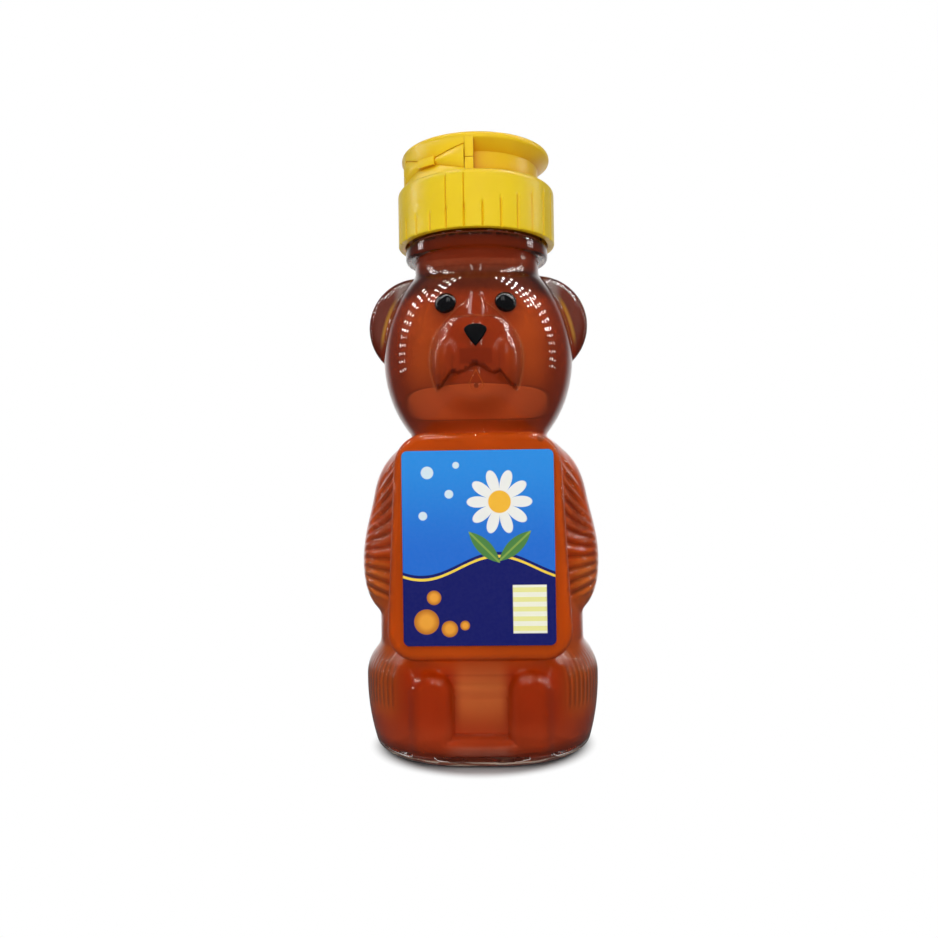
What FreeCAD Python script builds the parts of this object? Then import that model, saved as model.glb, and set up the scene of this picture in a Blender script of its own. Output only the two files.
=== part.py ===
"""Squeeze bottle of honey shaped like a sitting bear, closed by a screw cap with a flip-top lid.

Millimetres, +Z up, the bear faces -Y, z = 0 is the table. Left and right are as seen from the front.
Every size is a named cell of the sheet. Heights are chained from the base to the lid, so that the
neck, cap, liner and lid follow when a size below them changes.
"""
import FreeCAD
import Part
import Sketcher
import os

SIZES = {
    # bottle wall and what it holds
    "wall": 0.75,
    "floor_thickness": 1.3,
    "honey_gap": 0.15,
    "honey_above_ring": 0.7,
    # seat: the wide lower body on its flat base, with a dome pushed up into the bottom
    "seat_base_width": 48.4,
    "seat_top_width": 54.8,
    "seat_depth": 47.0,
    "seat_height": 25.6,
    "seat_flat": 2.5,
    "seat_round": 8.5,
    "heel": 1.6,
    "punt_radius": 70.0,
    "punt_rise": 2.0,
    # the gap between the legs, and the knees on either side of it
    "gap_width": 11.4,
    "gap_bottom": 6.7,
    "gap_top": 24.0,
    "gap_depth": 3.9,
    "knee_width": 9.6,
    "knee_depth": 6.0,
    "knee_rise": 5.2,
    "knee_offset": 10.4,
    "knee_height": 15.6,
    "knee_setback": 0.2,
    # trunk: a rounded block behind the front panel
    "trunk_width": 46.6,
    "trunk_setback": 2.5,
    "trunk_bottom": 19.0,
    "trunk_top": 72.0,
    "trunk_flat": 2.0,
    "shoulder_margin": 4.0,
    # head, ears, muzzle
    "head_width": 44.0,
    "head_depth": 41.0,
    "head_rise": 25.3,
    "head_height": 88.5,
    "ear_radius": 11.9,
    "ear_thickness": 8.0,
    "ear_offset": 14.0,
    "ear_lift": 8.2,
    "ear_setback": 2.0,
    "muzzle_width": 19.6,
    "muzzle_depth": 10.0,
    "muzzle_rise": 10.5,
    "muzzle_reach": 23.5,
    "muzzle_drop": 4.5,
    "jowl_radius": 5.4,
    "jowl_offset": 4.6,
    "jowl_drop": 3.4,
    "jowl_reach": 22.9,
    # arms: upper arm and forearm with the paw
    "arm_width": 15.2,
    "arm_depth": 19.0,
    "arm_rise": 14.0,
    "arm_offset": 17.2,
    "arm_height": 53.0,
    "arm_forward": 3.0,
    "forearm_width": 12.6,
    "forearm_depth": 18.0,
    "forearm_rise": 11.0,
    "forearm_offset": 20.4,
    "forearm_height": 41.0,
    "forearm_forward": 5.0,
    # front panel and its label
    "panel_top_width": 34.6,
    "panel_bottom_width": 39.4,
    "panel_bottom": 22.5,
    "panel_height": 47.8,
    "panel_setback": 0.5,
    "panel_depth": 14.0,
    "panel_corner": 6.0,
    "panel_edge": 1.6,
    "label_width": 31.7,
    "label_height": 40.6,
    "label_rise": 3.5,
    "label_corner": 1.2,
    "label_thickness": 0.12,
    # eyes and nose
    "eye_radius": 2.45,
    "eye_sink": 1.05,
    "eye_offset": 6.5,
    "eye_lift": 9.7,
    "nose_width": 4.9,
    "nose_tall": 4.6,
    "nose_tip_width": 1.5,
    "nose_lift": 6.2,
    "nose_thickness": 0.6,
    # neck finish
    "neck_width": 28.9,
    "neck_wall": 1.35,
    "ring_lift": 22.8,
    "ring_proud": 1.6,
    "ring_thickness": 2.5,
    "finish_step": 0.55,
    "finish_height": 11.3,
    "thread_pitch": 4.233,
    "thread_turns": 1.25,
    "thread_depth": 1.15,
    "thread_base": 2.0,
    "thread_tip": 1.0,
    "thread_start": 4.0,
    # liner and screw cap
    "liner_thickness": 1.0,
    "liner_hole": 22.0,
    "liner_fit": 0.4,
    "thread_clearance": 0.4,
    "thread_drop": 1.55,
    "cap_thread_base": 1.7,
    "cap_thread_tip": 0.8,
    "cap_wall": 1.7,
    "skirt_gap": 1.1,
    "deck_thickness": 1.6,
    "shoulder": 1.3,
    "spout_base_width": 10.4,
    "spout_top_width": 8.4,
    "spout_height": 3.2,
    "orifice": 5.4,
    "groove_count": 28,
    "groove_radius": 0.32,
    "groove_low": 4.2,
    "groove_slope": 11.2,
    "groove_limit": 10.5,
    # flip-top lid
    "lid_setback": 1.0,
    "lid_height": 8.3,
    "lid_gap": 0.15,
    "lid_wall": 1.2,
    "lid_top_thickness": 2.0,
    "lid_rim": 1.5,
    "recess_depth": 2.65,
    "recess_flare": 2.6,
    "plug_fit": 0.3,
    "plug_taper": 0.4,
    "plug_depth": 2.4,
    # hinge between cap and lid
    "hinge_turn": 36.0,
    "hinge_half_angle": 36.0,
    "hinge_rise": 2.6,
    "hinge_gap": 0.2,
    "hinge_depth": 1.25,
    "strap_width": 4.5,
    "strap_tall": 1.8,
    "strap_proud": 0.9,
    "wing_width": 17.0,
    "wing_below": 2.35,
    "wing_above": 3.1,
    "wing_thickness": 0.55,
    "wing_sink": 0.3,
}

doc = FreeCAD.newDocument("bear")
sheet = doc.addObject("Spreadsheet::Sheet", "sizes")
for row, (name, value) in enumerate(SIZES.items(), 1):
    sheet.set("A%d" % row, name)
    sheet.set("B%d" % row, str(value))
    sheet.setAlias("B%d" % row, name)
doc.recompute()

# Derived heights and radii, as expressions over the sheet.
RING_BOTTOM = "(sizes.head_height + sizes.ring_lift)"
RING_TOP = "(%s + sizes.ring_thickness)" % RING_BOTTOM
LIP = "(%s + sizes.finish_height)" % RING_TOP
HONEY_LEVEL = "(%s + sizes.honey_above_ring)" % RING_TOP
SKIRT_BOTTOM = "(%s + sizes.skirt_gap)" % RING_TOP
DECK_UNDER = "(%s + sizes.liner_thickness)" % LIP
DECK = "(%s + sizes.deck_thickness)" % DECK_UNDER
SPOUT_TOP = "(%s + sizes.spout_height)" % DECK
LID_BOTTOM = "(%s + sizes.lid_gap)" % DECK
LID_TOP = "(%s + sizes.lid_height)" % DECK
LID_UNDER = "(%s - sizes.lid_top_thickness)" % LID_TOP
HINGE = "(%s + sizes.hinge_rise)" % DECK
STRAP_BOTTOM = "(%s - sizes.strap_tall / 2)" % HINGE
STRAP_TOP = "(%s + sizes.strap_tall / 2)" % HINGE
WINDOW_BOTTOM = "(%s - sizes.wing_below)" % HINGE
WINDOW_TOP = "(%s + sizes.wing_above)" % HINGE
NECK_RADIUS = "(sizes.neck_width / 2)"
BORE_RADIUS = "(%s - sizes.neck_wall)" % NECK_RADIUS
FINISH_RADIUS = "(%s + sizes.finish_step)" % NECK_RADIUS
RING_RADIUS = "(%s + sizes.ring_proud)" % FINISH_RADIUS
THREAD_OUTER = "(%s + sizes.thread_depth)" % FINISH_RADIUS
CAP_BORE = "(%s + sizes.thread_clearance)" % THREAD_OUTER
CAP_THREAD_CREST = "(%s + sizes.thread_clearance)" % FINISH_RADIUS
CAP_RADIUS = "(%s + sizes.cap_wall)" % CAP_BORE
LID_RADIUS = "(%s - sizes.lid_setback)" % CAP_RADIUS
RECESS_RADIUS = "(%s - sizes.recess_depth)" % LID_RADIUS
HINGE_SEAT = "(%s - sizes.hinge_depth)" % LID_RADIUS
PLUG_RADIUS = "(sizes.orifice / 2 - sizes.plug_fit)"
PLUG_TIP = "(%s - sizes.plug_taper)" % PLUG_RADIUS
PLUG_BOTTOM = "(%s - sizes.plug_depth)" % SPOUT_TOP
HINGE_POLAR = "(270 - sizes.hinge_turn)"
SEAT_REACH = "(sizes.seat_depth / 2)"
SEAT_CORNER = "(min(sizes.seat_base_width; sizes.seat_depth) / 2 - sizes.seat_flat)"
GAP_REACH = "(%s - sizes.gap_depth)" % SEAT_REACH
KNEE_REACH = "(%s - sizes.knee_setback)" % SEAT_REACH
TRUNK_REACH = "(%s - sizes.trunk_setback)" % SEAT_REACH
TRUNK_CORNER = "(min(sizes.trunk_width / 2; %s) - sizes.trunk_flat)" % TRUNK_REACH
TRUNK_SHOULDER = "(%s - sizes.shoulder_margin)" % TRUNK_CORNER
PANEL_REACH = "(%s - sizes.panel_setback)" % SEAT_REACH
PANEL_TOP = "(sizes.panel_bottom + sizes.panel_height)"
MUZZLE_HEIGHT = "(sizes.head_height - sizes.muzzle_drop)"
JOWL_HEIGHT = "(%s - sizes.jowl_drop)" % MUZZLE_HEIGHT
EAR_HEIGHT = "(sizes.head_height + sizes.ear_lift)"
EYE_HEIGHT = "(sizes.head_height + sizes.eye_lift)"


def number(expression):
    """Value of an expression over the sheet."""
    return float(sheet.evalExpression(expression))


def bind(thing, **expressions):
    """Bind properties of an object to expressions over the sheet."""
    for name, expression in expressions.items():
        thing.setExpression(name, expression)
    return thing


def place(thing, x="0", y="0", z="0", turn=None):
    """Bind the position, and the turn about Z if given, of an object."""
    if turn is not None:
        thing.Placement = FreeCAD.Placement(
            FreeCAD.Vector(0, 0, 0), FreeCAD.Rotation(FreeCAD.Vector(0, 0, 1), number(turn))
        )
        thing.setExpression("Placement.Rotation.Angle", turn)
    thing.setExpression("Placement.Base.x", x)
    thing.setExpression("Placement.Base.y", y)
    thing.setExpression("Placement.Base.z", z)
    return thing


def ellipsoid(name, centre, radii, inset="0"):
    """Ellipsoid with semi-axes along X, Y and Z, each less the inset; its seam is turned to the back."""
    form = doc.addObject("Part::Ellipsoid", name)
    bind(
        form,
        Radius3="%s - %s" % (radii[0], inset),
        Radius2="%s - %s" % (radii[1], inset),
        Radius1="%s - %s" % (radii[2], inset),
    )
    return place(form, *centre, turn="90")


def cylinder(name, radius, bottom, top, angle="360", turn="0"):
    """Upright cylinder, or a sector of one that starts at the turn."""
    form = doc.addObject("Part::Cylinder", name)
    bind(form, Radius=radius, Height="%s - %s" % (top, bottom), Angle=angle)
    return place(form, z=bottom, turn=turn)


def fuse(name, forms):
    joined = doc.addObject("Part::MultiFuse", name)
    joined.Shapes = forms
    joined.Refine = False
    return joined


def cut(name, base, tool):
    result = doc.addObject("Part::Cut", name)
    result.Base = base
    result.Tool = tool
    result.Refine = False
    return result


def common(name, forms):
    result = doc.addObject("Part::MultiCommon", name)
    result.Shapes = forms
    result.Refine = False
    return result


def origin_plane(body, role):
    return [item for item in body.Origin.OriginFeatures if item.Role == role][0]


def polygon_sketch(body, name, points):
    """Closed polygon on the XZ plane, each corner bound to a pair of expressions."""
    sketch = body.newObject("Sketcher::SketchObject", name)
    sketch.AttachmentSupport = (origin_plane(body, "XZ_Plane"), [""])
    sketch.MapMode = "FlatFace"
    corners = [FreeCAD.Vector(number(x), number(z), 0) for x, z in points]
    count = len(corners)
    for index in range(count):
        sketch.addGeometry(Part.LineSegment(corners[index], corners[(index + 1) % count]), False)
    for index in range(count):
        sketch.addConstraint(Sketcher.Constraint("Coincident", index, 2, (index + 1) % count, 1))
    for index, (x, z) in enumerate(points):
        if x == "0":
            sketch.addConstraint(Sketcher.Constraint("PointOnObject", index, 1, -2))
        else:
            line = sketch.addConstraint(Sketcher.Constraint("DistanceX", index, 1, corners[index].x))
            sketch.setExpression("Constraints[%d]" % line, x)
        line = sketch.addConstraint(Sketcher.Constraint("DistanceY", index, 1, corners[index].y))
        sketch.setExpression("Constraints[%d]" % line, z)
    return sketch


def prism(name, points, near, far, turn="0"):
    """Polygon padded toward the front, from near to far ahead of the axis."""
    body = doc.addObject("PartDesign::Body", name)
    sketch = polygon_sketch(body, name + "_sketch", points)
    sketch.setExpression("AttachmentOffset.Base.z", near)
    pad = body.newObject("PartDesign::Pad", name + "_pad")
    pad.Profile = sketch
    bind(pad, Length="%s - %s" % (far, near))
    place(body, turn=turn)
    doc.recompute()
    return body, pad


def revolved(name, points):
    """Polygon on the XZ plane turned about Z."""
    body = doc.addObject("PartDesign::Body", name)
    sketch = polygon_sketch(body, name + "_sketch", points)
    turned = body.newObject("PartDesign::Revolution", name + "_revolution")
    turned.Profile = sketch
    turned.ReferenceAxis = (sketch, ["V_Axis"])
    turned.Angle = 360
    doc.recompute()
    return body, turned


def round_edges(body, feature, chosen, radius):
    """Fillet on the edges of a feature for which chosen(edge) holds."""
    names = ["Edge%d" % (i + 1) for i, edge in enumerate(feature.Shape.Edges) if chosen(edge)]
    fillet = body.newObject("PartDesign::Fillet", feature.Name + "_round")
    fillet.Base = (feature, names)
    bind(fillet, Radius=radius)
    doc.recompute()
    return fillet


def runs_along_y(edge):
    start = edge.Vertexes[0].Point
    end = edge.Vertexes[-1].Point
    return abs(start.x - end.x) < 1e-4 and abs(start.z - end.z) < 1e-4 and abs(start.y - end.y) > 1e-4


def rises_at_one_y(edge):
    start = edge.Vertexes[0].Point
    end = edge.Vertexes[-1].Point
    return abs(start.y - end.y) < 1e-4 and abs(start.z - end.z) > 1e-4


def lies_at(axis, position):
    """Test for edges that lie wholly at one position along an axis."""

    def chosen(edge):
        box = edge.BoundBox
        low, high = {"y": (box.YMin, box.YMax), "z": (box.ZMin, box.ZMax)}[axis]
        return abs(low - position) < 1e-3 and abs(high - position) < 1e-3

    return chosen


def helix_ridge(name, radius, start, profile):
    """Ridge along a right-hand helix. The profile holds (radius, height above the helix) corners."""
    pitch = number("sizes.thread_pitch")
    path = Part.makeHelix(pitch, pitch * number("sizes.thread_turns"), radius)
    corners = [FreeCAD.Vector(r, 0, rise) for r, rise in profile]
    outline = Part.makePolygon(corners + corners[:1])
    ridge = doc.addObject("Part::Feature", name)
    ridge.Shape = Part.Wire(path.Edges).makePipeShell([outline], True, True)
    ridge.Placement = FreeCAD.Placement(FreeCAD.Vector(0, 0, start), FreeCAD.Rotation())
    return ridge


def panel_form(name, inset):
    """Front panel: a tapered tablet with rounded corners and a rounded front edge."""
    top = "(sizes.panel_top_width / 2 - %s)" % inset
    bottom = "(sizes.panel_bottom_width / 2 - %s)" % inset
    low = "(sizes.panel_bottom + %s)" % inset
    high = "(%s - %s)" % (PANEL_TOP, inset)
    front = "(%s - %s)" % (PANEL_REACH, inset)
    points = [("-" + bottom, low), (bottom, low), (top, high), ("-" + top, high)]
    back = "(%s - sizes.panel_depth + %s)" % (PANEL_REACH, inset)
    body, pad = prism(name, points, back, front)
    corner = round_edges(body, pad, runs_along_y, "sizes.panel_corner - %s" % inset)
    round_edges(body, corner, lies_at("y", -number(front)), "sizes.panel_edge")
    return body


def trunk_form(name, inset):
    """Trunk: an upright block with round corners and round shoulders."""
    half = "(sizes.trunk_width / 2 - %s)" % inset
    low = "(sizes.trunk_bottom + %s)" % inset
    high = "(sizes.trunk_top - %s)" % inset
    reach = "(%s - %s)" % (TRUNK_REACH, inset)
    points = [("-" + half, low), (half, low), (half, high), ("-" + half, high)]
    body, pad = prism(name, points, "-" + reach, reach)
    corner = round_edges(body, pad, rises_at_one_y, "%s - %s" % (TRUNK_CORNER, inset))
    round_edges(body, corner, lies_at("z", number(high)), "%s - %s" % (TRUNK_SHOULDER, inset))
    return body


def seat_form(name, inset, bottom):
    """Seat: a block that widens upward, with round corners, a round top edge and a small heel."""
    base = "(sizes.seat_base_width / 2 - %s)" % inset
    top = "(sizes.seat_top_width / 2 - %s)" % inset
    high = "(sizes.seat_height - %s)" % inset
    reach = "(%s - %s)" % (SEAT_REACH, inset)
    points = [("-" + base, bottom), (base, bottom), (top, high), ("-" + top, high)]
    body, pad = prism(name, points, "-" + reach, reach)
    corner = round_edges(body, pad, rises_at_one_y, "%s - %s" % (SEAT_CORNER, inset))
    topped = round_edges(body, corner, lies_at("z", number(high)), "sizes.seat_round - %s" % inset)
    round_edges(body, topped, lies_at("z", number(bottom)), "sizes.heel")
    return body


def leg_forms(prefix, inset, bottom):
    """Seat and knees, less the gap between the legs."""
    forms = [seat_form(prefix + "seat", inset, bottom)]
    for side, sign in (("left", "-"), ("right", "")):
        knee = ellipsoid(
            prefix + side + "_knee",
            (sign + "sizes.knee_offset", "sizes.knee_depth - %s" % KNEE_REACH, "sizes.knee_height"),
            ("sizes.knee_width / 2", "sizes.knee_depth", "sizes.knee_rise"),
            inset,
        )
        forms.append(knee)
    gap = doc.addObject("Part::Box", prefix + "gap")
    bind(gap, Length="sizes.gap_width + 2 * %s" % inset)
    bind(gap, Width="sizes.seat_depth")
    bind(gap, Height="sizes.gap_top - sizes.gap_bottom + %s" % inset)
    place(
        gap,
        "-(sizes.gap_width / 2 + %s)" % inset,
        "%s - %s - sizes.seat_depth" % (inset, GAP_REACH),
        "sizes.gap_bottom - %s" % inset,
    )
    return cut(prefix + "legs", fuse(prefix + "legs_full", forms), gap)


def bear_forms(prefix, inset, bottom, neck, neck_top):
    """All forms of the bear at one inset from the outside, joined, with the dome in the bottom."""
    forms = [
        leg_forms(prefix, inset, bottom),
        trunk_form(prefix + "trunk", inset),
        head_form(prefix + "head", inset),
        muzzle_form(prefix + "muzzle", inset),
        panel_form(prefix + "panel", inset),
        cylinder(prefix + "neck", neck, "(sizes.head_height)", neck_top),
    ]
    for side, sign in (("left", "-"), ("right", "")):
        forms += [
            ellipsoid(
                prefix + side + "_ear",
                (sign + "sizes.ear_offset", "sizes.ear_setback", EAR_HEIGHT),
                ("sizes.ear_radius", "sizes.ear_thickness / 2", "sizes.ear_radius"),
                inset,
            ),
            ellipsoid(
                prefix + side + "_jowl",
                (sign + "sizes.jowl_offset", "sizes.jowl_radius - sizes.jowl_reach", JOWL_HEIGHT),
                ("sizes.jowl_radius", "sizes.jowl_radius", "sizes.jowl_radius"),
                inset,
            ),
            ellipsoid(
                prefix + side + "_arm",
                (sign + "sizes.arm_offset", "-sizes.arm_forward", "sizes.arm_height"),
                ("sizes.arm_width / 2", "sizes.arm_depth / 2", "sizes.arm_rise"),
                inset,
            ),
            ellipsoid(
                prefix + side + "_forearm",
                (sign + "sizes.forearm_offset", "-sizes.forearm_forward", "sizes.forearm_height"),
                ("sizes.forearm_width / 2", "sizes.forearm_depth / 2", "sizes.forearm_rise"),
                inset,
            ),
        ]
    joined = fuse(prefix + "forms", forms)
    punt = doc.addObject("Part::Sphere", prefix + "punt")
    bind(punt, Radius="sizes.punt_radius + %s" % bottom)
    place(punt, z="sizes.punt_rise - sizes.punt_radius")
    return cut(prefix + "body", joined, punt)


def head_form(name, inset):
    return ellipsoid(
        name,
        ("0", "0", "sizes.head_height"),
        ("sizes.head_width / 2", "sizes.head_depth / 2", "sizes.head_rise"),
        inset,
    )


def muzzle_form(name, inset):
    return ellipsoid(
        name,
        ("0", "sizes.muzzle_depth - sizes.muzzle_reach", MUZZLE_HEIGHT),
        ("sizes.muzzle_width / 2", "sizes.muzzle_depth", "sizes.muzzle_rise"),
        inset,
    )


def finish(thing, node):
    thing.Label = node
    nodes.append((node, thing))
    return thing


nodes = []

# Bottle: outside less cavity, with the neck ring and thread.
outside = bear_forms("outside_", "0", "0", NECK_RADIUS, LIP)
cavity = bear_forms("cavity_", "sizes.wall", "sizes.floor_thickness", BORE_RADIUS, "(%s + 1)" % LIP)
ring_bevel = "sizes.ring_thickness / 4"
ring_body, _ = revolved(
    "neck_ring",
    [
        ("%s - sizes.wall / 2" % NECK_RADIUS, RING_BOTTOM),
        ("%s - %s" % (RING_RADIUS, ring_bevel), RING_BOTTOM),
        (RING_RADIUS, "%s + %s" % (RING_BOTTOM, ring_bevel)),
        (RING_RADIUS, "%s - %s" % (RING_TOP, ring_bevel)),
        ("%s - %s" % (RING_RADIUS, ring_bevel), RING_TOP),
        (FINISH_RADIUS, RING_TOP),
        (FINISH_RADIUS, LIP),
        ("%s - sizes.wall / 2" % NECK_RADIUS, LIP),
    ],
)
thread_height = number("%s + sizes.thread_start" % RING_TOP)
root = number(FINISH_RADIUS)
crest = number(THREAD_OUTER)
base_half = number("sizes.thread_base / 2")
tip_half = number("sizes.thread_tip / 2")
sunk = number("sizes.wall / 4")
thread = helix_ridge(
    "neck_thread",
    root,
    thread_height,
    [(root - sunk, -base_half), (crest, -tip_half), (crest, tip_half), (root - sunk, base_half)],
)
solid_bottle = fuse("solid_bottle", [outside, ring_body, thread])
finish(cut("bottle", solid_bottle, cavity), "bottle")

# Honey: the cavity less a small gap, up to its level in the neck.
honey_form = bear_forms(
    "honey_",
    "(sizes.wall + sizes.honey_gap)",
    "(sizes.floor_thickness + sizes.honey_gap)",
    "%s - sizes.honey_gap" % BORE_RADIUS,
    HONEY_LEVEL,
)
finish(honey_form, "honey_fill")

# Label: a thin rounded sheet on the panel's flat face.
label_half = "(sizes.label_width / 2)"
label_low = "(sizes.panel_bottom + sizes.label_rise)"
label_high = "(%s + sizes.label_height)" % label_low
label_body, label_pad = prism(
    "front_label",
    [
        ("-" + label_half, label_low),
        (label_half, label_low),
        (label_half, label_high),
        ("-" + label_half, label_high),
    ],
    PANEL_REACH,
    "(%s + sizes.label_thickness)" % PANEL_REACH,
)
round_edges(label_body, label_pad, runs_along_y, "sizes.label_corner")
finish(label_body, "front_label")

# Eyes: domes that sit on the head; the nose: a shield that follows the muzzle and the head above it.
head_outside = doc.getObject("outside_head")
for side, sign in (("left", "-"), ("right", "")):
    depth = (
        "sizes.eye_sink - sizes.head_depth / 2 * sqrt(1 - (2 * sizes.eye_offset / sizes.head_width) ^ 2"
        " - (sizes.eye_lift / sizes.head_rise) ^ 2)"
    )
    dome = ellipsoid(
        side + "_dome",
        (sign + "sizes.eye_offset", depth, EYE_HEIGHT),
        ("sizes.eye_radius", "sizes.eye_radius", "sizes.eye_radius"),
    )
    finish(cut(side + "_eye", dome, head_outside), side + "_eye")

nose_middle = "(%s + sizes.nose_lift)" % MUZZLE_HEIGHT
nose_half = "(sizes.nose_width / 2)"
nose_tip = "(sizes.nose_tip_width / 2)"
nose_low = "(%s - sizes.nose_tall / 2)" % nose_middle
nose_high = "(%s + sizes.nose_tall / 2)" % nose_middle
nose_shoulder = "(%s + sizes.nose_tall / 5)" % nose_middle
nose_body, nose_pad = prism(
    "nose_blank",
    [
        ("-" + nose_tip, nose_low),
        (nose_tip, nose_low),
        (nose_half, nose_shoulder),
        ("%s * 0.8" % nose_half, nose_high),
        ("-%s * 0.8" % nose_half, nose_high),
        ("-" + nose_half, nose_shoulder),
    ],
    "(sizes.muzzle_reach - sizes.muzzle_depth)",
    "(sizes.muzzle_reach + 4)",
)
round_edges(nose_body, nose_pad, runs_along_y, "sizes.nose_tip_width / 3")
nose_swell = "(-sizes.nose_thickness)"
nose_skin = fuse("nose_skin", [muzzle_form("muzzle_skin", nose_swell), head_form("head_skin", nose_swell)])
nose_solid = common("nose_solid", [nose_body, nose_skin])
nose_seat = fuse("nose_seat", [doc.getObject("outside_muzzle"), head_outside])
finish(cut("nose", nose_solid, nose_seat), "nose")

# Liner: a flat washer between the lip and the deck.
liner_disc = cylinder("liner_disc", "%s - sizes.liner_fit" % CAP_BORE, LIP, DECK_UNDER)
liner_hole = cylinder("liner_hole", "sizes.liner_hole / 2", "(%s - 1)" % LIP, "(%s + 1)" % DECK_UNDER)
finish(cut("cap_liner", liner_disc, liner_hole), "cap_liner")


def hinge_block(name, bottom, top):
    """Sector of the wall that carries the hinge, between two heights."""
    start = "(%s - sizes.hinge_half_angle)" % HINGE_POLAR
    outer = cylinder(name + "_outer", LID_RADIUS, bottom, top, "2 * sizes.hinge_half_angle", start)
    inner = cylinder(name + "_inner", "%s - sizes.lid_wall" % HINGE_SEAT, bottom, top)
    return cut(name, outer, inner)


def hinge_window(name):
    """Bow-tie opening for the wings, with the strap's place at its waist."""
    waist = "(sizes.strap_width / 2)"
    end = "(sizes.wing_width / 2)"
    points = [
        ("-" + waist, STRAP_BOTTOM),
        (waist, STRAP_BOTTOM),
        (end, WINDOW_BOTTOM),
        (end, WINDOW_TOP),
        (waist, STRAP_TOP),
        ("-" + waist, STRAP_TOP),
        ("-" + end, WINDOW_TOP),
        ("-" + end, WINDOW_BOTTOM),
    ]
    blank, _ = prism(name + "_blank", points, "0", "(%s + 2)" % LID_RADIUS, "-sizes.hinge_turn")
    core = cylinder(name + "_core", HINGE_SEAT, "(%s - 2)" % WINDOW_BOTTOM, "(%s + 2)" % WINDOW_TOP)
    return cut(name, blank, core)


# Screw cap: skirt, deck and spout, hinge block, inner thread, grooves.
cap_body, cap_turned = revolved(
    "cap_blank",
    [
        (CAP_BORE, SKIRT_BOTTOM),
        (CAP_RADIUS, SKIRT_BOTTOM),
        (CAP_RADIUS, DECK),
        ("sizes.spout_base_width / 2", DECK),
        ("sizes.spout_top_width / 2", SPOUT_TOP),
        ("sizes.orifice / 2", SPOUT_TOP),
        ("sizes.orifice / 2", DECK_UNDER),
        (CAP_BORE, DECK_UNDER),
    ],
)
cap_radius = number(CAP_RADIUS)
round_edges(
    cap_body,
    cap_turned,
    lambda edge: lies_at("z", number(DECK))(edge) and abs(edge.BoundBox.XMax - cap_radius) < 1e-3,
    "sizes.shoulder",
)
cap_hinge = hinge_block("cap_hinge", "(%s - 0.5)" % DECK, "(%s - sizes.hinge_gap / 2)" % HINGE)
cap_hinge_open = cut("cap_hinge_open", cap_hinge, hinge_window("cap_window"))
cap_crest = number(CAP_THREAD_CREST)
cap_root = number(CAP_BORE)
cap_base_half = number("sizes.cap_thread_base / 2")
cap_tip_half = number("sizes.cap_thread_tip / 2")
cap_sunk = number("sizes.cap_wall / 6")
cap_thread = helix_ridge(
    "cap_thread",
    cap_root,
    thread_height - number("sizes.thread_drop"),
    [
        (cap_root + cap_sunk, -cap_base_half),
        (cap_crest, -cap_tip_half),
        (cap_crest, cap_tip_half),
        (cap_root + cap_sunk, cap_base_half),
    ],
)
cap_solid = fuse("cap_solid", [cap_body, cap_hinge_open, cap_thread])
grooves = []
for index in range(int(number("sizes.groove_count"))):
    away = "(360 / sizes.groove_count * %g)" % (index + 0.5)
    polar = "(%s + %s)" % (HINGE_POLAR, away)
    rise = "sizes.groove_slope * (1 - cos(%s * 1deg)) / 2" % away
    tall = "min(sizes.groove_low + %s; sizes.groove_limit)" % rise
    groove = doc.addObject("Part::Cylinder", "groove_%d" % index)
    bind(groove, Radius="sizes.groove_radius", Height="%s + 1" % tall)
    place(
        groove,
        "%s * cos(%s * 1deg)" % (CAP_RADIUS, polar),
        "%s * sin(%s * 1deg)" % (CAP_RADIUS, polar),
        "%s - 1" % SKIRT_BOTTOM,
    )
    grooves.append(groove)
finish(cut("cap_base", cap_solid, fuse("grooves", grooves)), "cap_base")

# Lid: rim with the thumb recess under it, hollow inside, plug for the spout, hinge block.
recess_top = "(%s - sizes.lid_rim)" % LID_TOP
lid_body, lid_turned = revolved(
    "lid_blank",
    [
        ("0", LID_TOP),
        (LID_RADIUS, LID_TOP),
        (LID_RADIUS, recess_top),
        (RECESS_RADIUS, "%s - sizes.recess_flare" % recess_top),
        (RECESS_RADIUS, LID_BOTTOM),
        ("%s - sizes.lid_wall" % RECESS_RADIUS, LID_BOTTOM),
        ("%s - sizes.lid_wall" % RECESS_RADIUS, LID_UNDER),
        (PLUG_RADIUS, LID_UNDER),
        (PLUG_RADIUS, SPOUT_TOP),
        (PLUG_TIP, PLUG_BOTTOM),
        ("0", PLUG_BOTTOM),
    ],
)
round_edges(lid_body, lid_turned, lies_at("z", number(LID_TOP)), "sizes.lid_rim * 0.6")
lid_hinge_bottom = "(%s + sizes.hinge_gap / 2)" % HINGE
lid_hinge = hinge_block("lid_hinge", lid_hinge_bottom, "(%s - sizes.lid_rim / 2)" % LID_TOP)
lid_hinge_open = cut("lid_hinge_open", lid_hinge, hinge_window("lid_window"))
finish(fuse("cap_lid", [lid_body, lid_hinge_open]), "cap_lid")

# Hinge strap at the waist of the window, proud of the wall; wings on either side of it.
strap_points = [
    ("-(sizes.strap_width / 2)", STRAP_BOTTOM),
    ("(sizes.strap_width / 2)", STRAP_BOTTOM),
    ("(sizes.strap_width / 2)", "(%s - sizes.hinge_gap / 2)" % STRAP_TOP),
    ("-(sizes.strap_width / 2)", "(%s - sizes.hinge_gap / 2)" % STRAP_TOP),
]
strap_blank, _ = prism("strap_blank", strap_points, "0", "(%s + 4)" % LID_RADIUS, "-sizes.hinge_turn")
strap_outer = cylinder("strap_outer", "%s + sizes.strap_proud" % LID_RADIUS, STRAP_BOTTOM, STRAP_TOP)
strap_inner = cylinder("strap_inner", HINGE_SEAT, STRAP_BOTTOM, STRAP_TOP)
strap_ring = cut("strap_ring", strap_outer, strap_inner)
finish(common("hinge_strap", [strap_blank, strap_ring]), "hinge_strap")

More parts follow.
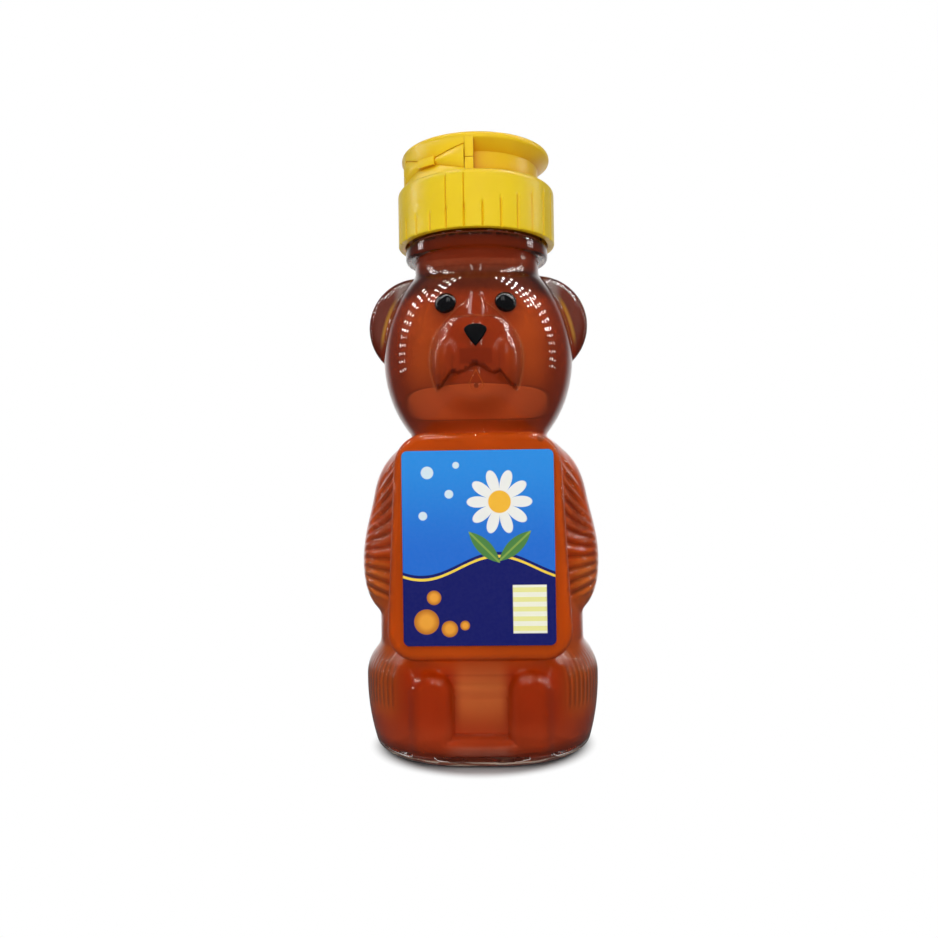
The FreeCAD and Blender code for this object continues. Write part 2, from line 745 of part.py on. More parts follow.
wing_outer_radius = "(%s - sizes.wing_sink)" % LID_RADIUS
for side, sign in (("left", "-"), ("right", "")):
    near = "(sizes.strap_width / 2 + sizes.hinge_gap)"
    end = "(sizes.wing_width / 2 - sizes.hinge_gap)"
    span = "(sizes.wing_width / 2 - sizes.strap_width / 2)"
    low_slope = "(sizes.wing_below - sizes.strap_tall / 2) / %s" % span
    high_slope = "(sizes.wing_above - sizes.strap_tall / 2) / %s" % span
    near_step = "sizes.hinge_gap"
    end_step = "(%s - sizes.hinge_gap)" % span
    top_gap = "sizes.hinge_gap * 0.6"
    wing_points = [
        (sign + near, "%s - %s * %s" % (STRAP_BOTTOM, near_step, low_slope)),
        (sign + end, "%s - %s * %s" % (STRAP_BOTTOM, end_step, low_slope)),
        (sign + end, "%s + %s * %s - %s" % (STRAP_TOP, end_step, high_slope, top_gap)),
        (sign + near, "%s + %s * %s - %s" % (STRAP_TOP, near_step, high_slope, top_gap)),
    ]
    wing_name = "hinge_wing_" + side
    wing_far = "(%s + 2)" % LID_RADIUS
    wing_blank, _ = prism(wing_name + "_blank", wing_points, "0", wing_far, "-sizes.hinge_turn")
    wing_low = "(%s - 1)" % WINDOW_BOTTOM
    wing_high = "(%s + 1)" % WINDOW_TOP
    wing_inner_radius = "%s - sizes.wing_thickness" % wing_outer_radius
    wing_outer = cylinder(wing_name + "_outer", wing_outer_radius, wing_low, wing_high)
    wing_inner = cylinder(wing_name + "_inner", wing_inner_radius, wing_low, wing_high)
    wing_ring = cut(wing_name + "_ring", wing_outer, wing_inner)
    finish(common(wing_name, [wing_blank, wing_ring]), wing_name)

doc.recompute()

# Every object must have come out sound before anything is written.
for thing in doc.Objects:
    if "Invalid" in thing.State or "Error" in thing.State:
        raise RuntimeError("%s did not recompute" % thing.Name)
os.makedirs("parts", exist_ok=True)
for node, thing in nodes:
    shape = thing.Shape
    if shape.isNull() or not shape.isValid() or len(shape.Solids) != 1:
        raise RuntimeError("%s is not one sound solid" % node)
for node, thing in nodes:
    thing.Shape.exportStep("parts/%s.step" % node)
    print(node, "volume %.1f mm3" % thing.Shape.Volume, thing.Shape.BoundBox)
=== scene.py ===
import math
from functools import partialmethod

import bpy
import numpy as np
from mathutils import Euler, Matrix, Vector


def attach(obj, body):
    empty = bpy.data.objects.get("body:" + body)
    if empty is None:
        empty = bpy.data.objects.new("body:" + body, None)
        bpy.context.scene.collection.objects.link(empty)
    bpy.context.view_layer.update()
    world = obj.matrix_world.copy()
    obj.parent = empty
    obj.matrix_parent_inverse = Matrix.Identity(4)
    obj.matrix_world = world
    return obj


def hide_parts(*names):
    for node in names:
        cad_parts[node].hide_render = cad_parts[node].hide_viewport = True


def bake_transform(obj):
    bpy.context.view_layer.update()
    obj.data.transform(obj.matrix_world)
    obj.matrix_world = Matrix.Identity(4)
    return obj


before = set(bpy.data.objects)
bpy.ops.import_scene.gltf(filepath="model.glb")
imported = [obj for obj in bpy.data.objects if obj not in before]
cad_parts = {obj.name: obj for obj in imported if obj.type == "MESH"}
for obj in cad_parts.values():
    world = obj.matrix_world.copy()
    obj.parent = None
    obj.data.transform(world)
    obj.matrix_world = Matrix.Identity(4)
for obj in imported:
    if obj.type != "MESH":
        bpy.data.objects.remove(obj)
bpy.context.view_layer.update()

# Lengths of the shapes are in millimetres, and MM turns them into metres.
# Z is up, the bear looks along -Y, and HINGE_POLAR is the hinge's angle about Z in degrees.
MM = 0.001
WALL = 0.75
BASE_THICKNESS = 2.3
HONEY_OVERLAP = 0.3
HONEY_LEVEL = 114.5
NECK_FOOT = 96.0
NECK_BORE = 13.1
LIP = 125.1
THREAD_PITCH = 4.233
NECK_THREAD_START = 117.8
CAP_THREAD_START = 116.25
THREAD_RUNOUT = (0.2, 0.3)
DECK = 127.7
LID_RADIUS = 17.25
HINGE_POLAR = 234.0

DOME_RADIUS = 70.0
DOME_HEIGHT = 2.0
SEAT_TOP = 25.2
KNEE_FRONT = -23.5
PANEL_FRONT = -23.0
PANEL_MIDDLE = 46.4
TRUNK_TOP = 72.0
ARM_RIB_PITCH = 2.75
ARM_RIB_HEIGHT = 0.26
ARM_RIB_SPAN = (33.0, 66.0)
ARM_RIB_FADE = 3.0
ARM_RIB_FRONT = (-11.0, -8.0)
ARM_RIB_SIDE = (17.6, 19.4)
ARM_MIDDLE = 20.0
ARM_SLANT = (-0.5, 1.2)
ARM_SLANT_SPAN = (34.0, 60.0)
HIP_RIB_ANGLE = 0.058
HEAD_CENTRE = (0.0, 0.0, 88.5)
HEAD_RADII = (22.0, 20.5, 25.3)
MUZZLE_MIDDLE = 86.8
MUZZLE_HALF = 9.9
MUZZLE_TAPER_UP = 0.056
MUZZLE_TAPER_DOWN = 0.026
MOUTH_MIDDLE = 84.55
MOUTH_FALL = 1.75
MOUTH_END = 3.8
JOWL_SLOPE = 1.2


# Distance fields: each gives the distance of points p = (x, y, z) from a surface, negative inside.


def ellipsoid(p, centre, radii):
    q = [a - c for a, c in zip(p, centre)]
    near = np.sqrt(sum((a / r) ** 2 for a, r in zip(q, radii)))
    slope = np.sqrt(sum((a / (r * r)) ** 2 for a, r in zip(q, radii)))
    return near * (near - 1.0) / np.maximum(slope, 1e-6)


def join(a, b, soft):
    """Both shapes, with a soft fillet between them."""
    share = np.maximum(soft - np.abs(a - b), 0.0) / soft
    return np.minimum(a, b) - share * share * soft * 0.25


def carve(a, b, soft):
    """The first shape without the second."""
    return -join(-a, b, soft)


def meet(a, b, radius):
    """What both shapes share, with a rounded edge."""
    u = np.maximum(a + radius, 0.0)
    v = np.maximum(b + radius, 0.0)
    return np.minimum(np.maximum(a + radius, b + radius), 0.0) + np.hypot(u, v) - radius


def rounded_box(x, y, half_x, half_y, corner):
    qx = np.abs(x) - half_x + corner
    qy = np.abs(y) - half_y + corner
    outside = np.hypot(np.maximum(qx, 0.0), np.maximum(qy, 0.0))
    return outside + np.minimum(np.maximum(qx, qy), 0.0) - corner


def upright(p, radius, low, high, edge):
    """Cylinder about Z with rounded rims."""
    x, y, z = p
    return meet(np.hypot(x, y) - radius, np.maximum(low - z, z - high), edge)


def smooth_step(value, low, high):
    t = np.clip((value - low) / (high - low), 0.0, 1.0)
    return t * t * (3.0 - 2.0 * t)


def legs(p):
    """Seat with the lap cut out of its top, and the two legs in front."""
    x, y, z = p
    side = np.abs(x)
    rise = np.clip(z / 16.0, 0.0, 1.0)
    half = 24.1 + 2.25 * (1.0 - (1.0 - rise) ** 2)
    seat = rounded_box(x, y, half, half - 2.85, 20.5)
    seat = meet(seat, z - SEAT_TOP, 8.5)
    seat = meet(seat, -z, 1.8)
    lap = np.maximum(np.maximum(side - 13.5, 18.0 - z), y + 20.8)
    seat = carve(seat, lap, 2.5)
    shin = KNEE_FRONT - y + 0.018 * np.maximum(14.5 - z, 0.0) ** 2
    knee = meet(rounded_box(side - 10.0, z - 8.0, 4.6, 12.0, 4.4), shin, 2.6)
    knee = np.maximum(knee, np.maximum(y + 10.0, 2.5 - z))
    return join(seat, knee, 1.6)


def leg_gap(p):
    """Hollow between the legs, shallower toward its top."""
    x, y, z = p
    depth = y + 19.4 + 0.45 * np.maximum(z - 14.0, 0.0)
    return np.maximum(np.maximum(np.abs(x) - 5.7, depth), np.maximum(6.8 - z, z - 23.0))


def panel(p):
    """Raised panel for the label, narrower toward its top."""
    x, y, z = p
    half = 19.7 - 2.4 * (z - 22.5) / 47.8
    front = rounded_box(x, z - PANEL_MIDDLE, half, 23.9, 6.5)
    return np.maximum(meet(front, PANEL_FRONT - y, 1.7), y + 9.0)


def arm_fur(p):
    """Slanting ribs on the front of the arms, as a wave from -1 to 1."""
    x, y, z = p
    side = np.abs(x)
    low, high = ARM_RIB_SPAN
    slant = ARM_SLANT[0] + (ARM_SLANT[1] - ARM_SLANT[0]) * smooth_step(z, *ARM_SLANT_SPAN)
    reach = smooth_step(z, low, low + ARM_RIB_FADE) * (1.0 - smooth_step(z, high - ARM_RIB_FADE, high))
    reach = reach * (1.0 - smooth_step(y, *ARM_RIB_FRONT)) * smooth_step(side, *ARM_RIB_SIDE)
    return reach * np.sin((z + slant * (side - ARM_MIDDLE)) * 2.0 * math.pi / ARM_RIB_PITCH)


def trunk(p):
    """Body and arms, with the ribs of the fur."""
    x, y, z = p
    side = np.abs(x)
    block = rounded_box(x, y, 23.3, 21.0, 19.0)
    block = np.maximum(meet(block, z - TRUNK_TOP, 15.0), 19.0 - z)
    arm = ellipsoid((side, y, z), (17.2, -3.0, 53.0), (7.6, 9.5, 14.0))
    forearm = ellipsoid((side, y, z), (20.4, -5.0, 41.0), (6.3, 9.0, 11.0))
    return join(block, join(arm, forearm, 6.0), 1.0) - ARM_RIB_HEIGHT * arm_fur(p)


def muzzle(p):
    """Raised muzzle: flat on top, widest at the cheeks, with the mouth as its lower edge."""
    x, y, z = p
    side = np.abs(x)
    rise = z - MUZZLE_MIDDLE
    half = MUZZLE_HALF - np.where(rise > 0.0, MUZZLE_TAPER_UP, MUZZLE_TAPER_DOWN) * rise * rise
    lip = MOUTH_MIDDLE - MOUTH_FALL * smooth_step(side, 0.0, MOUTH_END)
    lip = lip + 0.4 * smooth_step(side, 3.9, 5.2) - JOWL_SLOPE * np.maximum(side - 5.2, 0.0)
    outline = meet((side - half) / 1.3, np.maximum(lip - z, z - 95.5) / 1.1, 0.5)
    bulge = ellipsoid(p, (0.0, -10.5, 85.5), (13.4, 12.3, 16.0))
    cheek = ellipsoid((side, y, z), (6.6, -16.4, 85.6), (3.6, 6.7, 6.6))
    return np.maximum(meet(outline, join(bulge, cheek, 1.6), 0.6), y + 8.0)


def face(p):
    """Head with eye sockets, chin, muzzle and dished ears."""
    x, y, z = p
    side = np.abs(x)
    twin = (side, y, z)
    skull = ellipsoid(p, HEAD_CENTRE, HEAD_RADII)
    socket = ellipsoid(twin, (9.0, -22.6, 95.4), (5.6, 5.0, 5.9))
    skull = carve(skull, socket, 1.6)
    chin = ellipsoid(p, (0.0, -12.6, 81.0), (8.8, 9.8, 7.0))
    head = join(join(skull, chin, 2.0), muzzle(p), 0.5)
    ear = ellipsoid(twin, (14.0, 2.0, 96.7), (11.9, 4.2, 11.9))
    dish = ellipsoid(twin, (16.6, -3.8, 97.2), (7.0, 2.8, 7.6))
    return join(head, carve(ear, dish, 1.0), 0.8)


def bear(p):
    """Whole bear without its neck, hollowed under the base by a shallow dome."""
    x, y, z = p
    body = carve(join(legs(p), trunk(p), 1.2), leg_gap(p), 2.4)
    body = join(body, panel(p), 0.8)
    body = join(body, face(p), 1.4)
    dome = DOME_RADIUS - np.sqrt(x * x + y * y + (z + DOME_RADIUS - DOME_HEIGHT) ** 2)
    return np.maximum(body, dome)


def neck(p):
    """Neck with its ring and its thread of a turn and a quarter."""
    x, y, z = p
    tube = upright(p, 14.45, NECK_FOOT, LIP, 0.35)
    ring = upright(p, 16.6, 111.3, 114.6, 0.7)
    finish = upright(p, 15.0, 112.6, LIP, 0.35)
    turn = np.mod(np.arctan2(y, x) / (2.0 * math.pi), 1.0)
    radius = np.hypot(x, y)
    width = 1.0 - 0.43 * np.clip(radius - 15.0, 0.0, 1.15)
    climb = z - NECK_THREAD_START
    first = np.abs(climb - THREAD_PITCH * turn) - width + 4.0 * (1.0 - smooth_step(turn, 0.0, 0.05))
    second = np.abs(climb - THREAD_PITCH * (turn + 1.0)) - width + 6.0 * smooth_step(turn, *THREAD_RUNOUT)
    ridge = meet(radius - 16.15, np.minimum(first, second), 0.25)
    return join(join(join(tube, ring, 0.5), finish, 0.2), ridge, 0.3)


def bottle_outside(p):
    return join(bear(p), neck(p), 1.0)


def bottle_cavity(p):
    inside = meet(bear(p) + WALL, BASE_THICKNESS - p[2], 3.0)
    return join(inside, upright(p, NECK_BORE, NECK_FOOT, LIP + 2.0, 0.2), 1.0)


def honey_field(p):
    """Honey up to its level. It reaches a little into the wall, so that no gap shows between them."""
    inside = meet(bear(p) + WALL - HONEY_OVERLAP, BASE_THICKNESS - HONEY_OVERLAP - p[2], 3.0)
    filled = join(inside, upright(p, NECK_BORE + HONEY_OVERLAP, NECK_FOOT, LIP, 0.2), 1.0)
    return np.maximum(filled, p[2] - HONEY_LEVEL)


# Meshes from fields: one vertex for each cell of a grid that the surface crosses, drawn onto the surface.


def gradient(field, p, step=0.02):
    """Slope of a field along each axis."""
    columns = []
    for axis in range(3):
        ahead = [a.copy() for a in p]
        behind = [a.copy() for a in p]
        ahead[axis] = ahead[axis] + step
        behind[axis] = behind[axis] - step
        columns.append((field(tuple(ahead)) - field(tuple(behind))) / (2.0 * step))
    return columns


CORNERS = [(i, j, k) for i in (0, 1) for j in (0, 1) for k in (0, 1)]


def crossings(values, cells):
    """Mean place inside each cell at which the surface crosses its edges, from 0 to 1 along each axis."""
    total = np.zeros((len(cells), 3))
    hits = np.zeros(len(cells))
    for first in CORNERS:
        for axis in range(3):
            if first[axis]:
                continue
            second = list(first)
            second[axis] = 1
            a = values[tuple((cells + first).T)]
            b = values[tuple((cells + second).T)]
            crossed = (a < 0.0) != (b < 0.0)
            share = np.where(crossed, a / np.where(crossed, a - b, 1.0), 0.0)
            spot = np.tile(np.array(first, float), (len(cells), 1))
            spot[:, axis] = share
            total += spot * crossed[:, None]
            hits += crossed
    return total / hits[:, None]


def cell_quads(inside, number):
    """One quad for each edge of the grid that the surface crosses, wound so that it faces outward."""
    faces = []
    for axis in range(3):
        u, v = (axis + 1) % 3, (axis + 2) % 3
        lower = [slice(None)] * 3
        upper = [slice(None)] * 3
        lower[axis] = slice(0, -1)
        upper[axis] = slice(1, None)
        a = inside[tuple(lower)]
        b = inside[tuple(upper)]
        for sign in (1, -1):
            edges = np.argwhere(a & ~b) if sign == 1 else np.argwhere(~a & b)
            quad = []
            for du, dv in ((0, 0), (1, 0), (1, 1), (0, 1)):
                cell = edges.copy()
                cell[:, u] -= 1 - du
                cell[:, v] -= 1 - dv
                quad.append(number[tuple(cell.T)])
            faces.append(np.stack(quad if sign == 1 else quad[::-1], axis=1))
    return np.concatenate(faces)


def drawn_onto(field, points, step):
    """Points moved along the slope of the field until they lie on its surface."""
    for _ in range(4):
        p = tuple(points.T)
        slope = np.stack(gradient(field, p), axis=1)
        length = np.maximum((slope**2).sum(axis=1), 0.05)
        move = field(p) / length
        points = points - np.clip(move, -step, step)[:, None] * slope
    return points


def field_mesh(name, field, low, high, step):
    """Mesh of the surface of a field inside the box from low to high, on a grid of one step."""
    axes = [np.arange(a, b + step, step) for a, b in zip(low, high)]
    shape = tuple(len(a) for a in axes)
    values = np.empty(shape)
    for k, z in enumerate(axes[2]):
        x, y = np.meshgrid(axes[0], axes[1], indexing="ij")
        values[:, :, k] = field((x, y, np.full_like(x, z)))
    inside = values < 0.0
    count = sum(
        inside[i : shape[0] - 1 + i, j : shape[1] - 1 + j, k : shape[2] - 1 + k].astype(np.int8)
        for i, j, k in CORNERS
    )
    cells = np.argwhere((count > 0) & (count < 8))
    number = np.full(tuple(length - 1 for length in shape), -1)
    number[tuple(cells.T)] = np.arange(len(cells))
    points = np.array(low) + (cells + crossings(values, cells)) * step
    return new_mesh(name, drawn_onto(field, points, step), cell_quads(inside, number))


BLOCK_EDGE = 0.12
SHARP_ANGLE = math.radians(50.0)
MERGED_SHARP_ANGLE = math.radians(40.0)


def new_mesh(name, points, faces, sharp=None):
    """Smooth mesh from points in millimetres. Edges sharper than the given angle stay sharp."""
    mesh = bpy.data.meshes.new(name)
    mesh.from_pydata([tuple(v) for v in np.asarray(points) * MM], [], [tuple(f) for f in faces])
    mesh.validate()
    mesh.update()
    mesh.shade_smooth()
    if sharp is not None:
        mesh.set_sharp_from_angle(angle=sharp)
    piece = bpy.data.objects.new(name, mesh)
    bpy.context.scene.collection.objects.link(piece)
    return piece


def apply_modifiers(piece):
    bpy.context.view_layer.update()
    graph = bpy.context.evaluated_depsgraph_get()
    mesh = bpy.data.meshes.new_from_object(piece.evaluated_get(graph))
    piece.modifiers.clear()
    piece.data = mesh


def soften(piece, width):
    """Bevel the edges of a block."""
    bevel = piece.modifiers.new("soft_edges", "BEVEL")
    bevel.width = width * MM
    bevel.segments = 2
    bevel.limit_method = "ANGLE"
    bevel.angle_limit = math.radians(35.0)
    apply_modifiers(piece)
    return piece


def merge(name, pieces):
    """One mesh from several, which are removed."""
    points = []
    faces = []
    for piece in pieces:
        start = len(points)
        points += [tuple(v.co) for v in piece.data.vertices]
        faces += [tuple(start + i for i in face.vertices) for face in piece.data.polygons]
        bpy.data.objects.remove(piece)
    return new_mesh(name, np.array(points) / MM, faces, MERGED_SHARP_ANGLE)


# Turned shapes.


def arc(r, z, radius, start, end, count):
    angles = np.radians(np.linspace(start, end, count))
    return [(r + radius * math.cos(a), z + radius * math.sin(a)) for a in angles]


def whole_turn(count):
    return np.linspace(0.0, 2.0 * math.pi, count, endpoint=False)


def turned(name, profile, angles, change=None):
    """Profile turned about Z. It starts and ends on the axis and closes there, or else it is a loop."""
    profile = np.array(profile, float)
    angles = np.array(angles, float)
    on_axis = profile[0][0] < 1e-6
    rows = []
    points = []
    for r, z in profile:
        if r < 1e-6:
            rows.append([len(points)] * len(angles))
            points.append((0.0, 0.0, z))
            continue
        radius = np.full(len(angles), r) if change is None else change(r, z, angles)
        rows.append(list(range(len(points), len(points) + len(angles))))
        points += list(zip(radius * np.cos(angles), radius * np.sin(angles), np.full(len(angles), z)))
    if not on_axis:
        rows.append(rows[0])
    faces = []
    count = len(angles)
    for low, high in zip(rows[:-1], rows[1:]):
        for i in range(count):
            j = (i + 1) % count
            ring = [low[i], low[j], high[j], high[i]]
            faces.append([v for n, v in enumerate(ring) if v not in ring[:n]])
    return new_mesh(name, points, faces, SHARP_ANGLE)


def sector(name, inner, outer, low, high, start, end, count, foot=None):
    """Block between two radii; low and high give its bottom and top at each angle from the hinge."""
    foot = foot or outer
    points = []
    faces = []
    stations = np.linspace(start, end, count + 1)
    for step in stations:
        a = math.radians(HINGE_POLAR + step)
        for r, z in ((inner, low(step)), (foot, low(step)), (outer, high(step)), (inner, high(step))):
            points.append((r * math.cos(a), r * math.sin(a), z))
    for i in range(count):
        for j in range(4):
            k = (j + 1) % 4
            faces.append((4 * i + j, 4 * i + k, 4 * i + 4 + k, 4 * i + 4 + j))
    faces.append((3, 2, 1, 0))
    last = 4 * count
    faces.append((last, last + 1, last + 2, last + 3))
    return soften(new_mesh(name, points, faces), BLOCK_EDGE)


# Materials. In each of them s is its Shader.


class Nodes:
    """Small helper around the node tree of a material, a lamp or the world."""

    def __init__(self, owner):
        owner.use_nodes = True
        self.tree = owner.node_tree

    def add(self, kind, inputs=None, **settings):
        node = self.tree.nodes.new(kind)
        for name, value in settings.items():
            setattr(node, name, value)
        for name, value in (inputs or {}).items():
            self.put(node, name, value)
        return node

    def put(self, node, name, value):
        """Link an input to a socket, or set its value. Colours have three parts and are opaque."""
        socket = node.inputs[name]
        if isinstance(value, bpy.types.NodeSocket):
            self.tree.links.new(value, socket)
        elif socket.type == "RGBA":
            socket.default_value = value + (1.0,)
        else:
            socket.default_value = value

    def math(self, operation, a, b=0.0, c=0.0):
        node = self.add("ShaderNodeMath", {0: a, 1: b, 2: c}, operation=operation)
        return node.outputs[0]

    plus = partialmethod(math, "ADD")
    minus = partialmethod(math, "SUBTRACT")
    times = partialmethod(math, "MULTIPLY")
    divide = partialmethod(math, "DIVIDE")
    power = partialmethod(math, "POWER")
    root = partialmethod(math, "SQRT")
    sine = partialmethod(math, "SINE")
    magnitude = partialmethod(math, "ABSOLUTE")
    least = partialmethod(math, "MINIMUM")
    most = partialmethod(math, "MAXIMUM")

    def ramp(self, value, low, high, from_value=0.0, to_value=1.0):
        node = self.add(
            "ShaderNodeMapRange",
            {"Value": value, "From Min": low, "From Max": high, "To Min": from_value, "To Max": to_value},
            interpolation_type="SMOOTHSTEP",
        )
        return node.outputs["Result"]

    def between(self, value, low, high, soft):
        """1 from low to high, with a soft step at each end."""
        return self.times(self.ramp(value, low, low + soft), self.ramp(value, high, high - soft))

    def stroke(self, distance, width):
        """Soft line where a distance is near zero."""
        return self.ramp(self.magnitude(distance), width, 0.0)

    def blend(self, share, a, b):
        return self.add("ShaderNodeMix", {0: share, 2: a, 3: b}).outputs[0]

    def mix(self, share, a, b):
        node = self.add("ShaderNodeMix", data_type="RGBA")
        self.put(node, 0, share)
        self.put(node, 6, a)
        self.put(node, 7, b)
        return node.outputs[2]

    def noise(self, scale, detail=3.0):
        place = self.add("ShaderNodeTexCoord").outputs["Object"]
        cloud = self.add("ShaderNodeTexNoise", {"Vector": place, "Scale": scale, "Detail": detail})
        return cloud.outputs["Fac"]

    def mottle(self, scale, low=0.0, high=1.0, detail=3.0):
        """Noise stretched from low to high."""
        return self.ramp(self.noise(scale, detail), 0.3, 0.7, low, high)

    def position(self):
        """Place on the piece in millimetres."""
        place = self.add("ShaderNodeTexCoord").outputs["Object"]
        parts = self.add("ShaderNodeSeparateXYZ", {"Vector": place})
        return [self.times(part, 1.0 / MM) for part in parts.outputs]

    def bump(self, height, distance, strength=1.0, normal=None):
        inputs = {"Height": height, "Distance": distance * MM, "Strength": strength}
        if normal is not None:
            inputs["Normal"] = normal
        return self.add("ShaderNodeBump", inputs).outputs["Normal"]


class Shader(Nodes):
    """One material."""

    def __init__(self, name):
        self.material = bpy.data.materials.new(name)
        super().__init__(self.material)
        self.tree.nodes.clear()
        self.output = self.add("ShaderNodeOutputMaterial")

    def mixed(self, share, a, b):
        return self.add("ShaderNodeMixShader", {"Fac": share, 1: a.outputs[0], 2: b.outputs[0]})

    def finish(self, surface, volume=None):
        self.put(self.output, "Surface", surface.outputs[0])
        if volume is not None:
            self.put(self.output, "Volume", volume.outputs[0])
        return self.material


def muzzle_lines(s, side, z):
    """Edge of the muzzle with its top, and the lines of the mouth and jowls."""
    rise = s.minus(z, MUZZLE_MIDDLE)
    above = s.power(s.most(rise, 0.0), 2.0)
    below = s.power(s.least(rise, 0.0), 2.0)
    half = s.minus(MUZZLE_HALF, s.times(above, MUZZLE_TAPER_UP))
    half = s.minus(half, s.times(below, MUZZLE_TAPER_DOWN))
    edge = s.minus(side, half)
    border = s.times(s.stroke(edge, 0.62), s.between(z, 79.3, 99.0, 1.0))
    crown = s.times(s.stroke(s.minus(z, 95.3), 0.4), s.ramp(side, 5.2, 4.2))
    lip = s.ramp(side, 0.0, MOUTH_END, MOUTH_MIDDLE, MOUTH_MIDDLE - MOUTH_FALL)
    lip = s.plus(lip, s.ramp(side, 3.9, 5.0, 0.0, 0.3))
    mouth = s.times(s.stroke(s.minus(z, lip), 0.55), s.ramp(side, 5.2, 4.8))
    fall = s.math("MULTIPLY_ADD", s.minus(side, 5.0), -JOWL_SLOPE, 83.7)
    jowl = s.times(s.stroke(s.minus(z, fall), 0.75), s.ramp(side, 4.8, 5.2))
    jowl = s.times(jowl, s.times(s.ramp(edge, 0.3, 0.0), s.ramp(z, 79.3, 79.9)))
    corner = s.times(s.stroke(s.minus(side, 5.0), 0.45), s.between(z, 83.0, 87.0, 0.8))
    bright = s.most(border, crown)
    dark = s.most(mouth, s.most(jowl, s.times(corner, 0.6)))
    return bright, dark


def chin_lines(s, side, z):
    """Drop under the mouth, and the long oval of the jaw."""
    cone = s.times(s.minus(83.6, z), 0.49)
    low = s.power(s.minus(z, 80.4), 2.0)
    ball = s.root(s.most(s.minus(1.82, low), 0.0))
    under = s.math("LESS_THAN", z, 80.9)
    half = s.blend(under, cone, ball)
    drop = s.times(s.stroke(s.minus(side, half), 0.35), s.between(z, 78.9, 83.8, 0.3))
    wide = s.power(s.divide(side, 15.8), 4.0)
    tall = s.power(s.divide(s.minus(z, 77.1), 3.6), 4.0)
    oval = s.minus(s.power(s.plus(wide, tall), 0.25), 1.0)
    return drop, oval


def fur_ribs(s, side, y, z):
    """Slanting ribs on the front of the arms, and upright ribs on the hips, as waves from -1 to 1."""
    slant = s.ramp(z, *ARM_SLANT_SPAN, *ARM_SLANT)
    along = s.math("MULTIPLY_ADD", slant, s.minus(side, ARM_MIDDLE), z)
    arm = s.sine(s.times(along, 2.0 * math.pi / ARM_RIB_PITCH))
    ahead = s.ramp(y, ARM_RIB_FRONT[1], ARM_RIB_FRONT[0])
    arm = s.times(arm, s.times(s.between(z, *ARM_RIB_SPAN, ARM_RIB_FADE), ahead))
    arm = s.times(arm, s.ramp(side, *ARM_RIB_SIDE))
    around = s.math("ARCTAN2", y, side)
    hip = s.sine(s.times(around, 2.0 * math.pi / HIP_RIB_ANGLE))
    hip = s.times(hip, s.between(z, 10.6, 23.5, 2.5))
    hip = s.times(hip, s.times(s.between(around, -0.86, 0.4, 0.1), s.ramp(side, 15.0, 17.0)))
    return arm, hip


def moulded_relief(s, arm_ribs, hip_ribs):
    """Fine relief of the mould, in half millimetres: fur ribs, and the lines of the face."""
    x, y, z = s.position()
    side = s.magnitude(x)
    arm, hip = fur_ribs(s, side, y, z)
    bright, dark = muzzle_lines(s, side, z)
    drop, oval = chin_lines(s, side, z)
    bridge = s.minus(side, s.math("MULTIPLY_ADD", s.minus(99.7, z), 0.29, 1.3))
    bridge = s.times(s.stroke(bridge, 0.4), s.between(z, 95.9, 100.2, 0.6))
    faint = s.most(drop, s.most(bridge, s.times(s.stroke(oval, 0.09), 0.6)))
    dark = s.times(dark, 0.45)
    lines = s.most(s.most(bright, dark), s.times(faint, 0.5))
    lines = s.times(lines, s.ramp(y, -9.0, -11.0))
    fur = s.math("MULTIPLY_ADD", arm, arm_ribs, s.times(hip, hip_ribs))
    return s.math("MULTIPLY_ADD", lines, -0.7, fur)


def clear_plastic():
    """Clear wall with the fine relief of the mould, and painted light at the heel: pale streaks that
    stand for light coming through the clear base.
    """
    s = Shader("clear_plastic")
    normal = s.bump(moulded_relief(s, 0.0, 0.1), 0.5)
    normal = s.bump(s.noise(60.0, 2.0), 0.15, 1.0, normal)
    rough = s.mottle(300.0, 0.01, 0.04)
    glass = s.add("ShaderNodeBsdfGlass", {"IOR": 1.46, "Roughness": rough, "Normal": normal})
    s.put(glass, "Color", (0.99, 0.98, 0.97))
    clear = s.add("ShaderNodeBsdfTransparent", {"Color": (0.95, 0.94, 0.93)})
    shadow = s.add("ShaderNodeLightPath").outputs["Is Shadow Ray"]
    both = s.mixed(shadow, glass, clear)
    z = s.position()[2]
    # painted light: pale diffuse streaks at the heel stand in for light coming through the clear base
    swirl = s.sine(s.math("MULTIPLY_ADD", z, 5.0, s.times(s.noise(110.0), 16.0)))
    heel = s.times(s.ramp(z, 1.6, 1.1), s.ramp(swirl, -0.4, 0.7, 0.0, 0.75))
    pale = s.add("ShaderNodeBsdfDiffuse", {"Color": (0.72, 0.58, 0.46)})
    both = s.mixed(heel, both, pale)
    return s.finish(both)


def wetted_wall():
    """Inner wall of the bottle, where honey and plastic bend light alike."""
    s = Shader("clear_plastic_wetted")
    tone = s.mix(s.noise(200.0), (0.98, 0.98, 0.98), (1.0, 1.0, 1.0))
    clear = s.add("ShaderNodeBsdfTransparent", {"Color": tone})
    return s.finish(clear)


